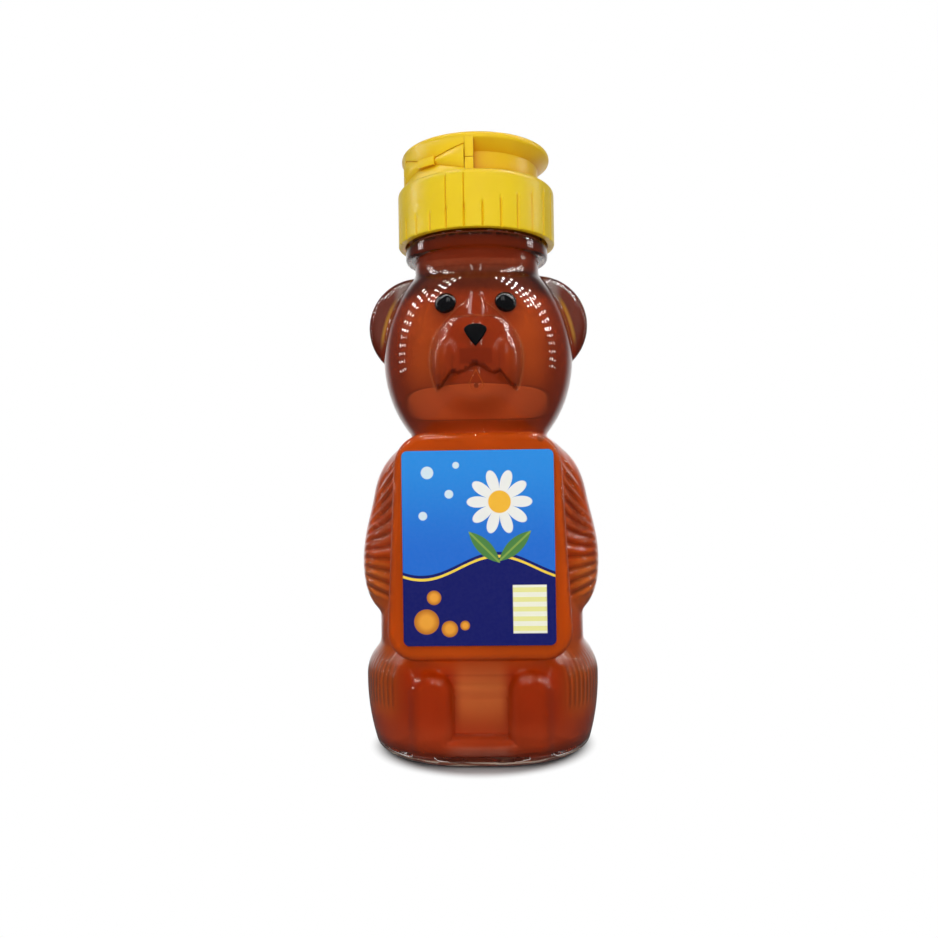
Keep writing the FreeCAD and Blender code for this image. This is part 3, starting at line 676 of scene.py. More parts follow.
def honey_look():
    """Amber that lets some of the light through and scatters the rest. Its colour carries painted light
    and shade for light bent and passed through the honey: a brighter trunk, gap and paws, a darker head
    with a painted dark band over the forehead, painted glows beside the muzzle and on the jaw, and
    painted shade in creases and fur grooves.
    """
    s = Shader("honey")
    x, y, z = s.position()
    side = s.magnitude(x)
    ahead = s.ramp(y, -8.0, -13.0)

    def patch(tone, share, colour):
        return s.mix(s.times(share, ahead), tone, colour)

    # painted light and shade by height: lighter trunk, darker head, and a painted dark band over the
    # forehead and neck
    tone = s.mix(s.ramp(z, 6.0, 11.0), (0.66, 0.070, 0.010), (0.62, 0.050, 0.002))
    tone = s.mix(s.ramp(z, 19.0, 24.0), tone, (0.94, 0.132, 0.003))
    tone = s.mix(s.ramp(z, 68.0, 75.0), tone, (0.38, 0.038, 0.005))
    tone = s.mix(s.between(z, 99.0, 110.0, 4.0), tone, (0.05, 0.004, 0.001))
    # painted glow in the gap between the legs
    gap = s.times(s.ramp(side, 6.6, 3.6), s.between(z, 5.5, 25.0, 9.0))
    tone = patch(tone, gap, (1.0, 0.260, 0.062))
    # painted glow in bands on the sides of the head, beside the muzzle
    valley = s.minus(side, 11.4)
    valley = s.times(s.stroke(valley, 6.5), s.between(z, 77.0, 103.0, 9.0))
    tone = patch(tone, valley, (0.62, 0.095, 0.010))
    # painted light on the hips and paws, painted shade on the arms
    hip = s.times(s.ramp(side, 15.5, 21.0), s.between(z, 7.0, 28.0, 6.0))
    tone = s.mix(hip, tone, (0.80, 0.150, 0.014))
    arm = s.times(s.ramp(side, 18.5, 22.0), s.between(z, 44.0, 70.0, 6.0))
    tone = patch(tone, arm, (0.56, 0.085, 0.010))
    paw_painted_light = s.times(s.ramp(side, 18.5, 22.0), s.between(z, 29.0, 45.0, 5.0))
    tone = s.mix(paw_painted_light, tone, (1.0, 0.240, 0.035))
    # painted shade under the nose, above the mouth
    mouth = s.times(s.ramp(side, 3.6, 3.2), s.between(z, 84.6, 88.2, 0.4))
    tone = patch(tone, s.times(mouth, 0.7), (0.22, 0.014, 0.001))
    bright, dark = muzzle_lines(s, side, z)
    drop, oval = chin_lines(s, side, z)
    # painted light over the jaw oval, with painted shade along its rim and in the mouth and jowl creases
    tone = patch(tone, s.times(s.ramp(oval, 0.05, -0.07), 0.8), (0.92, 0.162, 0.038))
    tone = patch(tone, s.times(s.stroke(oval, 0.06), 0.6), (0.12, 0.012, 0.002))
    tone = patch(tone, s.times(dark, 0.4), (0.10, 0.010, 0.002))
    # painted light in the drop under the mouth, with a painted dark dot at its round foot
    tone = patch(tone, s.times(drop, 0.8), (0.80, 0.170, 0.020))
    reach = s.plus(s.times(side, side), s.power(s.minus(z, 80.2), 2.0))
    dot_painted_shade = s.ramp(reach, 0.4, 0.1)
    tone = patch(tone, s.times(dot_painted_shade, 0.8), (0.12, 0.010, 0.001))
    # painted light along the edge and top of the muzzle
    tone = patch(tone, s.times(bright, 0.75), (0.72, 0.22, 0.075))
    # ears, with painted shade away from the head and a painted crescent of light along it
    ear = s.times(s.ramp(side, 18.0, 20.0), s.ramp(z, 80.0, 86.0))
    wide = s.power(s.divide(side, HEAD_RADII[0]), 2.0)
    tall = s.power(s.divide(s.minus(z, HEAD_CENTRE[2]), HEAD_RADII[2]), 2.0)
    skull = s.times(s.minus(s.root(s.plus(wide, tall)), 1.0), HEAD_RADII[0])
    tone = s.mix(s.times(ear, s.ramp(skull, 0.2, 1.6)), tone, (0.20, 0.020, 0.004))
    light = s.times(s.stroke(s.minus(skull, 0.8), 0.75), s.between(z, 91.0, 104.0, 4.0))
    tone = s.mix(light, tone, (0.78, 0.36, 0.020))
    # painted shade in the troughs of the fur ribs
    arm, hip = fur_ribs(s, side, y, z)
    tone = s.mix(s.ramp(arm, 0.0, -0.9, 0.0, 0.5), tone, (0.20, 0.020, 0.003))
    tone = s.mix(s.ramp(hip, 0.0, -0.9, 0.0, 0.4), tone, (0.20, 0.020, 0.003))
    # one air bubble behind the upper corner of the panel
    up = s.power(s.minus(z, 68.9), 2.0)
    bubble = s.root(s.plus(s.power(s.minus(x, 13.3), 2.0), up))
    tone = patch(tone, s.times(s.ramp(bubble, 0.9, 0.6), 0.7), (0.22, 0.030, 0.006))
    cloud = s.mottle(45.0, 0.0, 0.2, 4.0)
    tone = s.mix(cloud, tone, (0.10, 0.010, 0.001))
    normal = s.bump(moulded_relief(s, 0.4, 0.3), 0.5)
    body = s.add("ShaderNodeBsdfDiffuse", {"Color": tone, "Normal": normal})
    clear = s.add("ShaderNodeBsdfRefraction", {"IOR": 1.02, "Roughness": 0.3})
    s.put(clear, "Color", (1.0, 1.0, 1.0))
    back = s.add("ShaderNodeNewGeometry").outputs["Backfacing"]
    share = s.math("MULTIPLY_ADD", s.times(ear, s.ramp(skull, -1.0, 0.5)), 0.2, 0.76)
    share = s.times(s.minus(1.0, back), share)
    see = s.mixed(share, clear, body)
    amber = s.add("ShaderNodeVolumeAbsorption", {"Color": (0.72, 0.36, 0.15), "Density": 135.0})
    return s.finish(see, amber)


def yellow_plastic():
    """Bright skirt, a deeper yellow above it, and painted shade in orange where other parts are close."""
    s = Shader("yellow_plastic")
    skirt = s.mix(s.mottle(60.0), (0.75, 0.52, 0.006), (0.80, 0.57, 0.010))
    crown = s.mix(s.mottle(60.0), (0.78, 0.50, 0.004), (0.83, 0.55, 0.008))
    tone = s.mix(s.ramp(s.position()[2], 126.0, 128.5), skirt, crown)
    # painted shade: the colour turns orange where other parts hem the surface in
    open_share = s.add("ShaderNodeAmbientOcclusion", {"Distance": 0.008}, samples=6).outputs["AO"]
    tone = s.mix(s.ramp(open_share, 0.3, 0.92), (0.70, 0.31, 0.002), tone)
    rough = s.mottle(800.0, 0.30, 0.42)
    normal = s.bump(s.noise(2500.0, 2.0), 0.012)
    skin = s.add(
        "ShaderNodeBsdfPrincipled",
        {"Base Color": tone, "Roughness": rough, "IOR": 1.5, "Normal": normal, "Subsurface Weight": 0.12},
    )
    s.put(skin, "Specular IOR Level", 0.32)
    s.put(skin, "Subsurface Radius", (1.0, 0.6, 0.1))
    s.put(skin, "Subsurface Scale", 0.0015)
    return s.finish(skin)


def black_gloss():
    """Black paint that is glossy on the eyes and dull on the nose, which lies lower."""
    s = Shader("black_gloss")
    tone = s.mix(s.noise(400.0), (0.0010, 0.0010, 0.0014), (0.003, 0.003, 0.004))
    rough = s.mottle(500.0, 0.05, 0.09)
    height = s.position()[2]
    rough = s.plus(rough, s.ramp(height, 95.5, 94.5, 0.0, 0.35))
    shine = s.ramp(height, 94.5, 95.5, 0.06, 0.5)
    paint = s.add("ShaderNodeBsdfPrincipled", {"Base Color": tone, "Roughness": rough})
    s.put(paint, "Specular IOR Level", shine)
    return s.finish(paint)


def white_foam():
    s = Shader("white_foam")
    tone = s.mix(s.noise(900.0), (0.80, 0.80, 0.77), (0.90, 0.90, 0.88))
    normal = s.bump(s.noise(3000.0), 0.03)
    foam = s.add("ShaderNodeBsdfPrincipled", {"Base Color": tone, "Roughness": 0.8, "Normal": normal})
    return s.finish(foam)


def label_print():
    """Label with a design of its own: sky, pale spots, a daisy, a dark wave, drops and plain stripes."""
    s = Shader("label_paper")
    x, y, z = s.position()
    sky = s.mix(s.ramp(z, 44.0, 66.0), (0.010, 0.14, 0.60), (0.014, 0.24, 0.70))
    swell = s.times(s.sine(s.times(s.plus(x, 4.0), 0.2)), 2.4)
    wave = s.minus(z, s.plus(swell, 43.0))
    colour = s.mix(s.ramp(wave, 0.1, -0.1), sky, (0.002, 0.005, 0.13))
    gold = s.math("COMPARE", wave, -0.9, 0.28)
    colour = s.mix(gold, colour, (0.86, 0.60, 0.06))

    def reach_of(across, up):
        dx = s.minus(x, across)
        dz = s.minus(z, up)
        return dx, dz, s.root(s.plus(s.times(dx, dx), s.times(dz, dz)))

    def leaf(colour, across, up, turn, length, width):
        dx, dz, reach = reach_of(across, up)
        along = s.plus(s.times(dx, math.cos(turn)), s.times(dz, math.sin(turn)))
        over = s.minus(s.times(dz, math.cos(turn)), s.times(dx, math.sin(turn)))
        share = s.power(s.divide(along, length), 2.0)
        half = s.times(s.minus(1.0, share), width)
        over = s.magnitude(over)
        green = s.mix(s.ramp(over, 0.1, 0.3), (0.22, 0.36, 0.06), (0.07, 0.22, 0.05))
        return s.mix(s.ramp(s.minus(over, half), 0.1, -0.1), colour, green)

    colour = leaf(colour, 7.6, 46.6, 0.75, 4.6, 1.5)
    colour = leaf(colour, 1.2, 46.4, 2.35, 4.6, 1.5)
    pale_spots = ((-10.5, 62.0, 1.3), (-6.0, 57.5, 0.9), (-11.5, 53.0, 0.9), (-4.5, 63.5, 0.7))
    for across, up, size in pale_spots:
        reach = reach_of(across, up)[2]
        colour = s.mix(s.ramp(reach, size + 0.1, size - 0.1), colour, (0.62, 0.74, 0.80))
    amber_drops = ((-11.0, 31.0, 2.6), (-6.2, 29.5, 1.7), (-9.4, 36.0, 1.5), (-3.0, 30.2, 1.0))
    for across, up, size in amber_drops:
        reach = reach_of(across, up)[2]
        amber = s.mix(s.ramp(reach, size * 0.4, size), (0.80, 0.34, 0.03), (0.50, 0.16, 0.01))
        colour = s.mix(s.ramp(reach, size + 0.1, size - 0.1), colour, amber)
    dx, dz, reach = reach_of(4.5, 55.8)
    turn = s.math("ARCTAN2", dz, dx)
    petal = s.magnitude(s.math("COSINE", s.times(turn, 5.0)))
    edge = s.plus(s.times(s.power(petal, 0.6), 4.2), 2.6)
    colour = s.mix(s.ramp(s.minus(reach, edge), 0.15, -0.15), colour, (0.80, 0.80, 0.76))
    colour = s.mix(s.ramp(reach, 2.45, 2.25), colour, (0.85, 0.45, 0.03))
    band = s.times(s.between(x, 6.9, 14.1, 0.2), s.between(z, 28.4, 38.6, 0.2))
    stripe = s.math("GREATER_THAN", s.sine(s.times(z, math.pi)), 0.0)
    paper = s.mix(stripe, (0.80, 0.78, 0.30), (0.85, 0.85, 0.70))
    colour = s.mix(band, colour, paper)
    grain = s.mottle(1500.0, 0.0, 0.004)
    colour = s.mix(grain, colour, (1.0, 1.0, 1.0))
    rough = s.mottle(600.0, 0.36, 0.44)
    skin = s.add("ShaderNodeBsdfPrincipled", {"Base Color": colour, "Roughness": rough})
    s.put(skin, "Specular IOR Level", 0.2)
    return s.finish(skin)


# How the white room shows in gloss: dim ahead of and beside the object, bright behind it.
GLOSS_RAMP = (0.6, 0.9, 0.12, 1.0)
ROOM_LIGHT = 0.34
FOOT_HALF = (23.0, 23.2)
FOOT_MIDDLE = -1.5
LOOK_HEIGHT = 80.0


def backdrop():
    """Pale floor around the object, with a painted contact shadow close to it, that runs out into the
    white surround.
    """
    s = Shader("floor")
    x, y, z = s.position()
    tone = s.mix(s.noise(20.0), (0.88, 0.88, 0.88), (0.91, 0.91, 0.91))
    # painted contact shadow: the floor colour darkens where the object is near
    near = s.add("ShaderNodeAmbientOcclusion", {"Distance": 0.009}, samples=8).outputs["AO"]
    tone = s.mix(s.power(near, 1.2), (0.08, 0.08, 0.085), tone)
    card = s.add("ShaderNodeBsdfDiffuse", {"Color": tone})
    path = s.add("ShaderNodeLightPath").outputs
    glossy = path["Is Glossy Ray"]
    flat = s.plus(s.times(x, x), s.times(y, y))
    behind = s.divide(y, s.root(s.plus(flat, LOOK_HEIGHT**2)))
    mirrored = s.ramp(behind, *GLOSS_RAMP)
    strength = s.blend(glossy, 1.0, mirrored)
    glow = s.add("ShaderNodeEmission", {"Color": (1.0, 1.0, 1.0), "Strength": strength})
    across = s.power(s.divide(x, FOOT_HALF[0]), 2.0)
    deep = s.power(s.divide(s.minus(y, FOOT_MIDDLE), FOOT_HALF[1]), 2.0)
    away = s.minus(s.times(s.root(s.plus(across, deep)), FOOT_HALF[0]), FOOT_HALF[0])
    share = s.times(path["Is Camera Ray"], s.ramp(away, -1.5, 3.5))
    share = s.most(share, s.most(glossy, path["Is Transmission Ray"]))
    both = s.mixed(share, card, glow)
    return s.finish(both)


# Bottle and honey.

BOTTLE_GRID = 0.64
HOLLOW_GRID = 1.0
HONEY_GRID = 0.7
NOSE_GRID = 0.16


def bear_mesh(name, field, bottom, top, step):
    return field_mesh(name, field, (-29.5, -26.0, bottom), (29.5, 26.0, top), step)


bottle = bear_mesh("bottle_shell", bottle_outside, -1.5, 127.0, BOTTLE_GRID)
hollow = bear_mesh("hollow", bottle_cavity, -0.5, 129.0, HOLLOW_GRID)
bottle.data.materials.append(clear_plastic())
hollow.data.materials.append(wetted_wall())
opened = bottle.modifiers.new("hollow", "BOOLEAN")
opened.object = hollow
opened.operation = "DIFFERENCE"
opened.solver = "MANIFOLD"
opened.material_mode = "TRANSFER"
apply_modifiers(bottle)
bpy.data.objects.remove(hollow)

honey = bear_mesh("honey_body", honey_field, -0.5, 116.5, HONEY_GRID)


def surface_y(x, z):
    """Depth of the bear's front surface at one place."""
    low, high = -30.0, -5.0
    for _ in range(40):
        middle = 0.5 * (low + high)
        spot = (np.array([x]), np.array([middle]), np.array([z]))
        if bear(spot)[0] > 0.0:
            low = middle
        else:
            high = middle
    return 0.5 * (low + high)


def true_normals(piece, outer, inner=None):
    """Shade a mesh with the slopes of the fields that it was made from."""
    mesh = piece.data
    mesh.shade_smooth()
    flat = np.empty(len(mesh.vertices) * 3)
    mesh.vertices.foreach_get("co", flat)
    p = tuple(flat.reshape(-1, 3).T / MM)
    slope = np.stack(gradient(outer, p, 0.05), axis=1)
    if inner is not None:
        within = np.abs(inner(p)) < np.abs(outer(p))
        slope[within] = -np.stack(gradient(inner, p, 0.05), axis=1)[within]
    slope = slope / np.maximum(np.linalg.norm(slope, axis=1), 1e-6)[:, None]
    mesh.normals_split_custom_set_from_vertices([tuple(n) for n in slope])


true_normals(bottle, bottle_outside, bottle_cavity)
true_normals(honey, honey_field)

# Eyes and nose.

EYE_SIDE = 6.5
EYE_HEIGHT = 98.5
EYE_RADII = (2.45, 2.25, 1.6)
EYE_SINK = 0.1
NOSE_TOP = 92.0
NOSE_HALF = 2.4
NOSE_CROWN = 1.3
NOSE_DROP = 3.65


def eye(name, x, z):
    """Dome on the face, turned to look along the face's normal."""
    y = surface_y(x, z)
    spot = (np.array([x]), np.array([y]), np.array([z]))
    normal = Vector([float(c[0]) for c in gradient(bear, spot, 0.2)]).normalized()
    bpy.ops.mesh.primitive_uv_sphere_add(segments=40, ring_count=24, radius=MM)
    dome = bpy.context.object
    dome.name = name
    dome.data.name = name
    dome.scale = EYE_RADII
    dome.rotation_mode = "QUATERNION"
    dome.rotation_quaternion = normal.to_track_quat("Z", "Y")
    dome.location = Vector((x, y, z)) * MM - normal * EYE_SINK * MM
    bpy.ops.object.transform_apply(location=True, rotation=True, scale=True)
    dome.data.shade_smooth()
    return dome


left_eye = eye("left_eye_dome", -EYE_SIDE, EYE_HEIGHT)
right_eye = eye("right_eye_dome", EYE_SIDE, EYE_HEIGHT)


def nose_field(p):
    """Shield that follows the surface of the muzzle."""
    x, y, z = p
    side = np.abs(x)
    crown = (np.hypot(x / NOSE_HALF, (z - NOSE_TOP) / NOSE_CROWN) - 1.0) * NOSE_CROWN
    fall = np.maximum(NOSE_TOP - z, 0.0) / NOSE_DROP
    flank = (side - NOSE_HALF * (1.0 - fall**1.35)) * 0.85
    shield = np.where(z > NOSE_TOP, crown, flank)
    skin = np.abs(bear(p) - 0.2) - 0.45
    return meet(shield, skin, 0.2)


nose = field_mesh("nose_shield", nose_field, (-3.6, -26.0, 86.0), (3.6, -18.0, 94.5), NOSE_GRID)

# Cap base: grooved skirt, inner thread, deck and spout.
# Angles are in degrees from the middle of the hinge. GROOVE_STEPS sets points close together in a groove.

SKIRT_FOOT = 114.9
SKIRT_RADIUS = 18.25
SKIRT_SKIN = 17.6
CAP_BORE = 16.55
CAP_THREAD_HALF = 0.9
CAP_THREAD_FLANK = 0.45
CAP_THREAD_HEIGHT = 1.15
LINER_TOP = 126.1
GROOVES = 28
GROOVE_ANGLE = 360.0 / GROOVES
GROOVE_PHASE = 0.25
GROOVE_HALF = 1.1
GROOVE_DEPTH = 0.34
GROOVES_END = 126.6
GROOVE_STEPS = (-1.1, -0.55, 0.0, 0.55, 1.1, 2.4, 4.0, 5.6, 7.2, 8.8, 10.2)

# Two fine lines run up from two of the grooves, beside the hinge.
LINES = ((1.0 + GROOVE_PHASE) * GROOVE_ANGLE, (2.0 + GROOVE_PHASE) * GROOVE_ANGLE)
LINE_FOOT = 118.8
LINE_HALF = 0.6
LINE_DEPTH = 0.22
LINE_STEPS = (-0.6, -0.3, 0.0, 0.3, 0.6)

skirt_angles = []
for groove in range(GROOVES):
    middle = HINGE_POLAR + (groove + GROOVE_PHASE) * GROOVE_ANGLE
    skirt_angles += [middle + step for step in GROOVE_STEPS]
for line in LINES:
    skirt_angles += [HINGE_POLAR + line + step for step in LINE_STEPS]
skirt_angles = np.radians(np.sort(np.unique(np.round(skirt_angles, 3))))


def cap_radius(r, z, angles):
    """Radius at each angle: the skirt has its grooves and lines, and the bore its thread."""
    radius = np.full(len(angles), float(r))
    away = np.degrees(angles) - HINGE_POLAR
    if r > SKIRT_SKIN and z < GROOVES_END:
        top = np.minimum(4.2 + 5.6 * (1.0 - np.cos(np.radians(away))), 10.5)
        offset = np.mod(away + (0.5 - GROOVE_PHASE) * GROOVE_ANGLE, GROOVE_ANGLE) - 0.5 * GROOVE_ANGLE
        valley = np.clip(1.0 - np.abs(offset) / GROOVE_HALF, 0.0, 1.0)
        radius -= GROOVE_DEPTH * valley * smooth_step(SKIRT_FOOT + top - z, -0.3, 0.3)
    if r > SKIRT_SKIN and LINE_FOOT < z < GROOVES_END:
        for line in LINES:
            offset = np.mod(away, 360.0) - line
            radius -= LINE_DEPTH * np.clip(1.0 - np.abs(offset) / LINE_HALF, 0.0, 1.0)
    if abs(r - CAP_BORE) < 1e-6 and z < 125.0:
        turn = np.mod(angles / (2.0 * math.pi), 1.0)
        for lap in (0.0, 1.0):
            height = np.abs(z - CAP_THREAD_START - THREAD_PITCH * (turn + lap))
            ridge = np.clip((CAP_THREAD_HALF - height) / CAP_THREAD_FLANK, 0.0, 1.0)
            if lap:
                ridge = ridge * (1.0 - smooth_step(turn, *THREAD_RUNOUT))
            radius -= CAP_THREAD_HEIGHT * ridge
    return radius


cap_profile = [(16.75, SKIRT_FOOT), (18.0, SKIRT_FOOT), (18.15, 114.95), (SKIRT_RADIUS, 115.15)]
cap_profile += [(SKIRT_RADIUS, z) for z in np.arange(115.6, 126.2, 0.45)]
cap_profile += arc(16.95, 126.4, 1.3, 0.0, 90.0, 8)
cap_profile += [(12.0, DECK), (5.6, DECK), (5.25, DECK + 0.2), (4.3, 130.65), (4.05, 130.9)]
cap_profile += [(2.95, 130.9), (2.7, 130.65), (2.7, LINER_TOP)]
cap_profile += [(10.0, LINER_TOP), (16.2, LINER_TOP), (CAP_BORE, 125.9)]
cap_profile += [(CAP_BORE, z) for z in np.arange(125.4, 115.1, -0.35)]
cap_body = turned("cap_body", cap_profile, skirt_angles, cap_radius)


# Hinge blocks around the bow-tie window, in angles from the middle of the hinge.

SEAM = 0.06
WAIST = 7.5
WING_END = 29.5
POST_END = 36.0
CAP_POST_TOP = 130.26
LID_POST_FOOT = 130.34
CAP_BLOCK_FOOT = 127.2
LID_BLOCK_TOP = 135.0
LID_TOP = 136.0


def window(step, waist_height, end_height, post_height):
    """Height of the window's edge: it slopes from the waist to the wing's end and steps to the post."""
    away = abs(step)
    if away >= WING_END:
        return post_height
    share = max(away - WAIST, 0.0) / (WING_END - WAIST)
    return waist_height + (end_height - waist_height) * share


def cap_edge(step):
    return window(step, 129.4, 127.95, CAP_POST_TOP)


def lid_edge(step):
    return window(step, 131.2, 133.4, LID_POST_FOOT)


def level(height):
    return lambda step: height


front = WING_END - 0.01
cap_foot = level(CAP_BLOCK_FOOT)
lid_top = level(LID_BLOCK_TOP)
cap_blocks = [
    sector("cap_post_left", 14.8, LID_RADIUS, cap_foot, level(CAP_POST_TOP), -POST_END, -WING_END, 6),
    sector("cap_post_right", 14.8, LID_RADIUS, cap_foot, level(CAP_POST_TOP), WING_END, POST_END, 6),
    sector("cap_front", 15.9, LID_RADIUS, cap_foot, cap_edge, -front, front, 48),
    sector("cap_apron", 16.7, LID_RADIUS + 0.02, level(126.3), cap_edge, -front, front, 48, foot=18.22),
    sector("cap_back", 14.8, 15.95, cap_foot, level(130.2), -WING_END, WING_END, 36),
]
lid_blocks = [
    sector("lid_post_left", 14.2, LID_RADIUS, level(LID_POST_FOOT), lid_top, -POST_END, -WING_END, 6),
    sector("lid_post_right", 14.2, LID_RADIUS, level(LID_POST_FOOT), lid_top, WING_END, POST_END, 6),
    sector("lid_front", 15.9, LID_RADIUS, lid_edge, lid_top, -front, front, 48),
    sector("lid_back", 14.2, 15.95, level(130.4), lid_top, -WING_END, WING_END, 36),
]
cap = merge("cap_moulding", [cap_body] + cap_blocks)

lid_profile = [(0.0, LID_TOP), (6.0, LID_TOP), (12.0, LID_TOP), (15.4, LID_TOP)]
lid_profile += arc(16.35, 135.1, 0.9, 90.0, 0.0, 8)
lid_profile += [(LID_RADIUS, 134.75), (17.18, 134.55), (17.0, 134.4)]
lid_profile += [(16.3, 133.85), (15.5, 133.15), (14.6, 132.4), (14.6, 131.3), (14.6, 130.6)]
lid_profile += [(14.6, 129.4), (14.6, 128.1), (14.45, 127.9)]
lid_profile += [(14.2, 127.85), (13.7, 127.85), (13.4, 128.1)]
lid_profile += [(13.4, 133.5), (13.0, 134.0), (8.0, 134.0), (2.8, 134.0), (2.4, 133.6)]
lid_profile += [(2.4, 131.0), (2.15, 128.8), (1.85, 128.5), (0.0, 128.5)]
lid_body = turned("lid_body", lid_profile, whole_turn(144))
lid = merge("lid_moulding", [lid_body] + lid_blocks)


def hinge_plate(name, start, end, low, high, inner, outer, bulge):
    """Thin curved plate of the hinge, bulged outward between its lower and upper edge."""
    across = 18
    up = 28
    grid = {}
    points = []
    faces = []
    for side, base in ((0, inner), (1, outer)):
        for i in range(across + 1):
            step = start + (end - start) * i / across
            a = math.radians(HINGE_POLAR + step)
            for j in range(up + 1):
                t = j / up
                r = base + bulge * math.sin(math.pi * t)
                z = low(step) + (high(step) - low(step)) * t
                grid[side, i, j] = len(points)
                points.append((r * math.cos(a), r * math.sin(a), z))
    for i in range(across):
        for j in range(up):
            ring = [(i, j), (i + 1, j), (i + 1, j + 1), (i, j + 1)]
            faces.append([grid[(1,) + c] for c in ring])
            faces.append([grid[(0,) + c] for c in reversed(ring)])
    border = [(i, 0) for i in range(across)] + [(across, j) for j in range(up)]
    border += [(i, up) for i in range(across, 0, -1)] + [(0, j) for j in range(up, 0, -1)]
    for a, b in zip(border, border[1:] + border[:1]):
        faces.append([grid[(0,) + a], grid[(0,) + b], grid[(1,) + b], grid[(1,) + a]])
    return new_mesh(name, points, faces, SHARP_ANGLE)


def wing_bottom(step):
    return cap_edge(step) - SEAM


def wing_top(step):
    return lid_edge(step) + SEAM


wing_shape = (wing_bottom, wing_top, 16.4, 16.95, 0.75)
wing_left = hinge_plate("wing_left", -WING_END + 0.35, -WAIST + 0.1, *wing_shape)
wing_right = hinge_plate("wing_right", WAIST - 0.1, WING_END - 0.35, *wing_shape)
strap_shape = (level(129.34), level(131.16), 16.3, 18.1, 0.05)
strap = hinge_plate("strap_film", -WAIST + 0.2, WAIST - 0.2, *strap_shape)

liner_profile = [(11.0, LIP), (16.1, LIP), (16.15, LIP + 0.1)]
liner_profile += [(16.15, LINER_TOP - 0.1), (16.1, LINER_TOP), (11.0, LINER_TOP)]
liner = turned("liner_washer", liner_profile, whole_turn(96))

# Every piece takes its node's place, with its body and its material. The label keeps the solid's shape.

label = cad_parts["front_label"]
yellow = yellow_plastic()
black = black_gloss()

dressed = [
    (bottle, "bottle", "bottle", "clear_plastic", None),
    (honey, "honey_fill", "bottle", "honey", honey_look()),
    (left_eye, "left_eye", "bottle", "black_gloss", black),
    (right_eye, "right_eye", "bottle", "black_gloss", black),
    (nose, "nose", "bottle", "black_gloss", black),
    (liner, "cap_liner", "seal", "white_foam", white_foam()),
    (cap, "cap_base", "cap", "yellow_plastic", yellow),
    (lid, "cap_lid", "lid", "yellow_plastic", yellow),
    (strap, "hinge_strap", None, "yellow_plastic", yellow),
    (wing_left, "hinge_wing_left", None, "yellow_plastic", yellow),
    (wing_right, "hinge_wing_right", None, "yellow_plastic", yellow),
]
for piece, node, body, slot, material in dressed:
    if material is not None:
        piece.data.materials.clear()
        piece.data.materials.append(material)
    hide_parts(node)
    if body is not None:
        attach(piece, body)
    piece.shadow_terminator_geometry_offset = 0.4

label.data.materials.clear()
label.data.materials.append(label_print())

# Bake the hinge pieces' places into their meshes.
for piece, low, high in ((strap, 129.5, 131.1), (wing_left, 129.0, 131.8), (wing_right, 129.0, 131.8)):
    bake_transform(piece)

# Stage: pale floor, white surround, soft lamps, and the camera at the photo's angle.
bpy.ops.mesh.primitive_plane_add(size=6.0)
floor = bpy.context.object
floor.name = "floor"
floor.data.materials.append(backdrop())

scene = bpy.context.scene


def surround():
    """White to the camera. Glass and gloss see white behind the object and a dim room elsewhere."""
    scene.world = bpy.data.worlds.new("surround")
    n = Nodes(scene.world)
    n.tree.nodes.clear()
    path = n.add("ShaderNodeLightPath").outputs
    place = n.add("ShaderNodeTexCoord").outputs["Generated"]
    ahead = n.add("ShaderNodeSeparateXYZ", {"Vector": place}).outputs["Y"]
    gloss = n.ramp(ahead, *GLOSS_RAMP)
    through = n.ramp(n.magnitude(ahead), 0.72, 0.95, 0.15, 1.0)
    plain = n.blend(path["Is Glossy Ray"], ROOM_LIGHT, gloss)
    bent = n.blend(path["Is Transmission Ray"], plain, through)
    seen = n.blend(path["Is Camera Ray"], bent, 1.0)
    light = n.add("ShaderNodeBackground", {"Color": (1.0, 1.0, 1.0), "Strength": seen})
    n.add("ShaderNodeOutputWorld", {"Surface": light.outputs[0]})


surround()


def lamp(name, place, target, size, power):
    light = bpy.data.lights.new(name, "AREA")
    light.shape = "RECTANGLE"
    light.size = size[0]
    light.size_y = size[1]
    light.energy = power
    holder = bpy.data.objects.new(name, light)
    scene.collection.objects.link(holder)
    holder.location = place
    holder.rotation_euler = (Vector(target) - Vector(place)).to_track_quat("-Z", "Y").to_euler()
    return holder


DOT_ROWS = 3
DOT_STRENGTH = 9.0


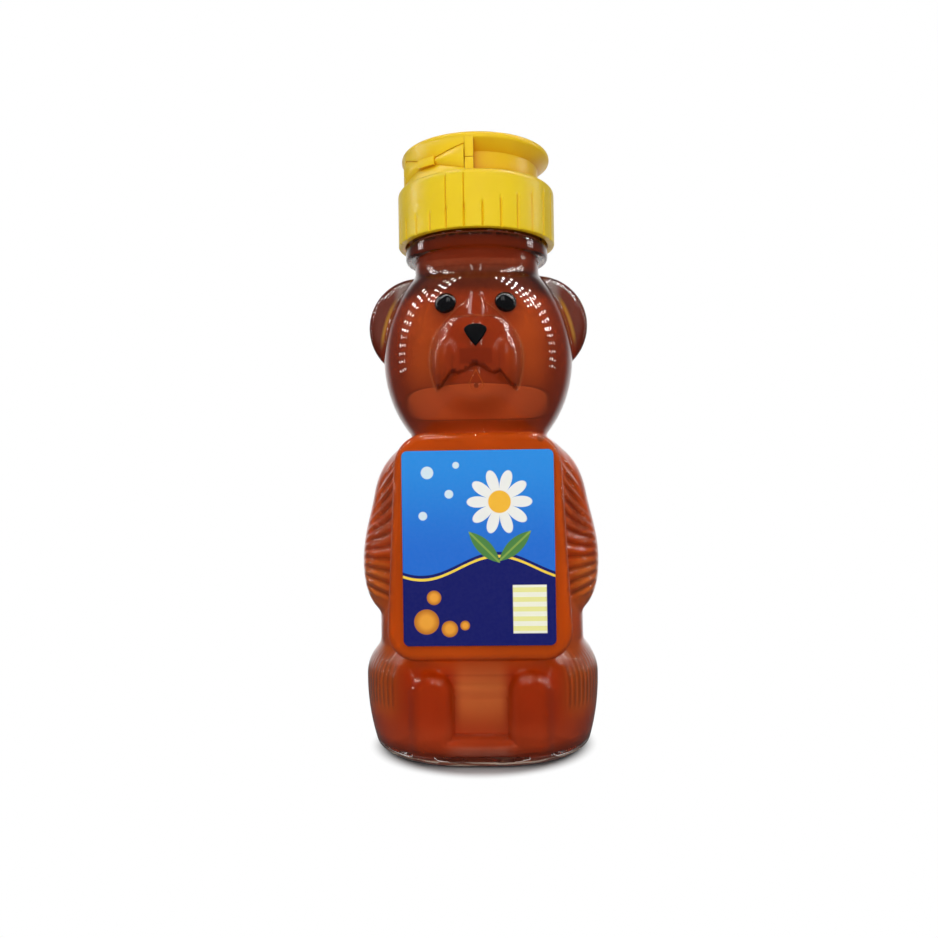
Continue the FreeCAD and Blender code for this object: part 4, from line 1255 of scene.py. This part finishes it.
def dotted(holder, dots):
    """Let a strip lamp shine in rows of dots, as strips of small lamps do."""
    n = Nodes(holder.data)
    shine = next(node for node in n.tree.nodes if node.type == "EMISSION")
    place = n.add("ShaderNodeNewGeometry").outputs["Parametric"]
    parts = n.add("ShaderNodeSeparateXYZ", {"Vector": place}).outputs
    lit = []
    for part, count in ((parts[0], DOT_ROWS), (parts[1], dots)):
        wave = n.sine(n.times(part, 2.0 * math.pi * count))
        lit.append(n.math("GREATER_THAN", wave, 0.5))
    n.put(shine, "Strength", n.times(n.times(lit[0], lit[1]), DOT_STRENGTH))


# Lamps, in metres and watts: dotted strips and plain windows that show only in gloss, then soft lamps.
HEAD_PLACE = (0.0, 0.0, 0.09)
BODY_PLACE = (0.0, 0.0, 0.07)
for name, place, size, power, dots in (
    ("strip_left", (-0.19, -0.06, 0.58), (0.12, 0.45), 1.1, 10),
    ("strip_right", (0.25, -0.03, 0.56), (0.15, 0.45), 1.6, 10),
    ("side_left", (-0.50, 0.06, 0.19), (0.12, 0.26), 0.16, 6),
    ("side_right", (0.50, 0.06, 0.19), (0.12, 0.26), 0.16, 6),
    ("high_left", (-0.37, 0.04, 0.36), (0.12, 0.26), 0.40, 6),
    ("high_right", (0.37, 0.04, 0.36), (0.12, 0.26), 0.40, 6),
    ("window_left", (-0.065, -0.40, 0.46), (0.025, 0.34), 0.16, 0),
    ("window_right", (0.065, -0.40, 0.46), (0.025, 0.34), 0.16, 0),
):
    strip = lamp(name, place, HEAD_PLACE, size, power)
    strip.visible_diffuse = False
    strip.visible_transmission = False
    if dots:
        dotted(strip, dots)
for name, place, size, power in (
    ("key", (0.22, -0.32, 0.42), (0.2, 0.2), 0.50),
    ("fill", (-0.25, -0.3, 0.4), (0.2, 0.2), 0.48),
    ("front", (0.0, -0.6, 0.12), (0.5, 0.4), 1.75),
    ("back", (0.0, 0.6, 0.25), (0.5, 0.4), 1.0),
):
    soft = lamp(name, place, BODY_PLACE, size, power)
    soft.visible_glossy = False
    soft.visible_transmission = False

CAMERA_PLACE = (0.0045, -0.1998, 0.0604)
CAMERA_TURN = (90.74, 0.85, 2.03)
camera = bpy.data.cameras.new("camera")
camera.sensor_width = 36.0
camera.lens = 32.62
camera.clip_start = 0.01
eye_point = bpy.data.objects.new("camera", camera)
scene.collection.objects.link(eye_point)
eye_point.location = CAMERA_PLACE
eye_point.rotation_euler = Euler([math.radians(angle) for angle in CAMERA_TURN], "XYZ")
scene.camera = eye_point

scene.view_settings.view_transform = "Standard"
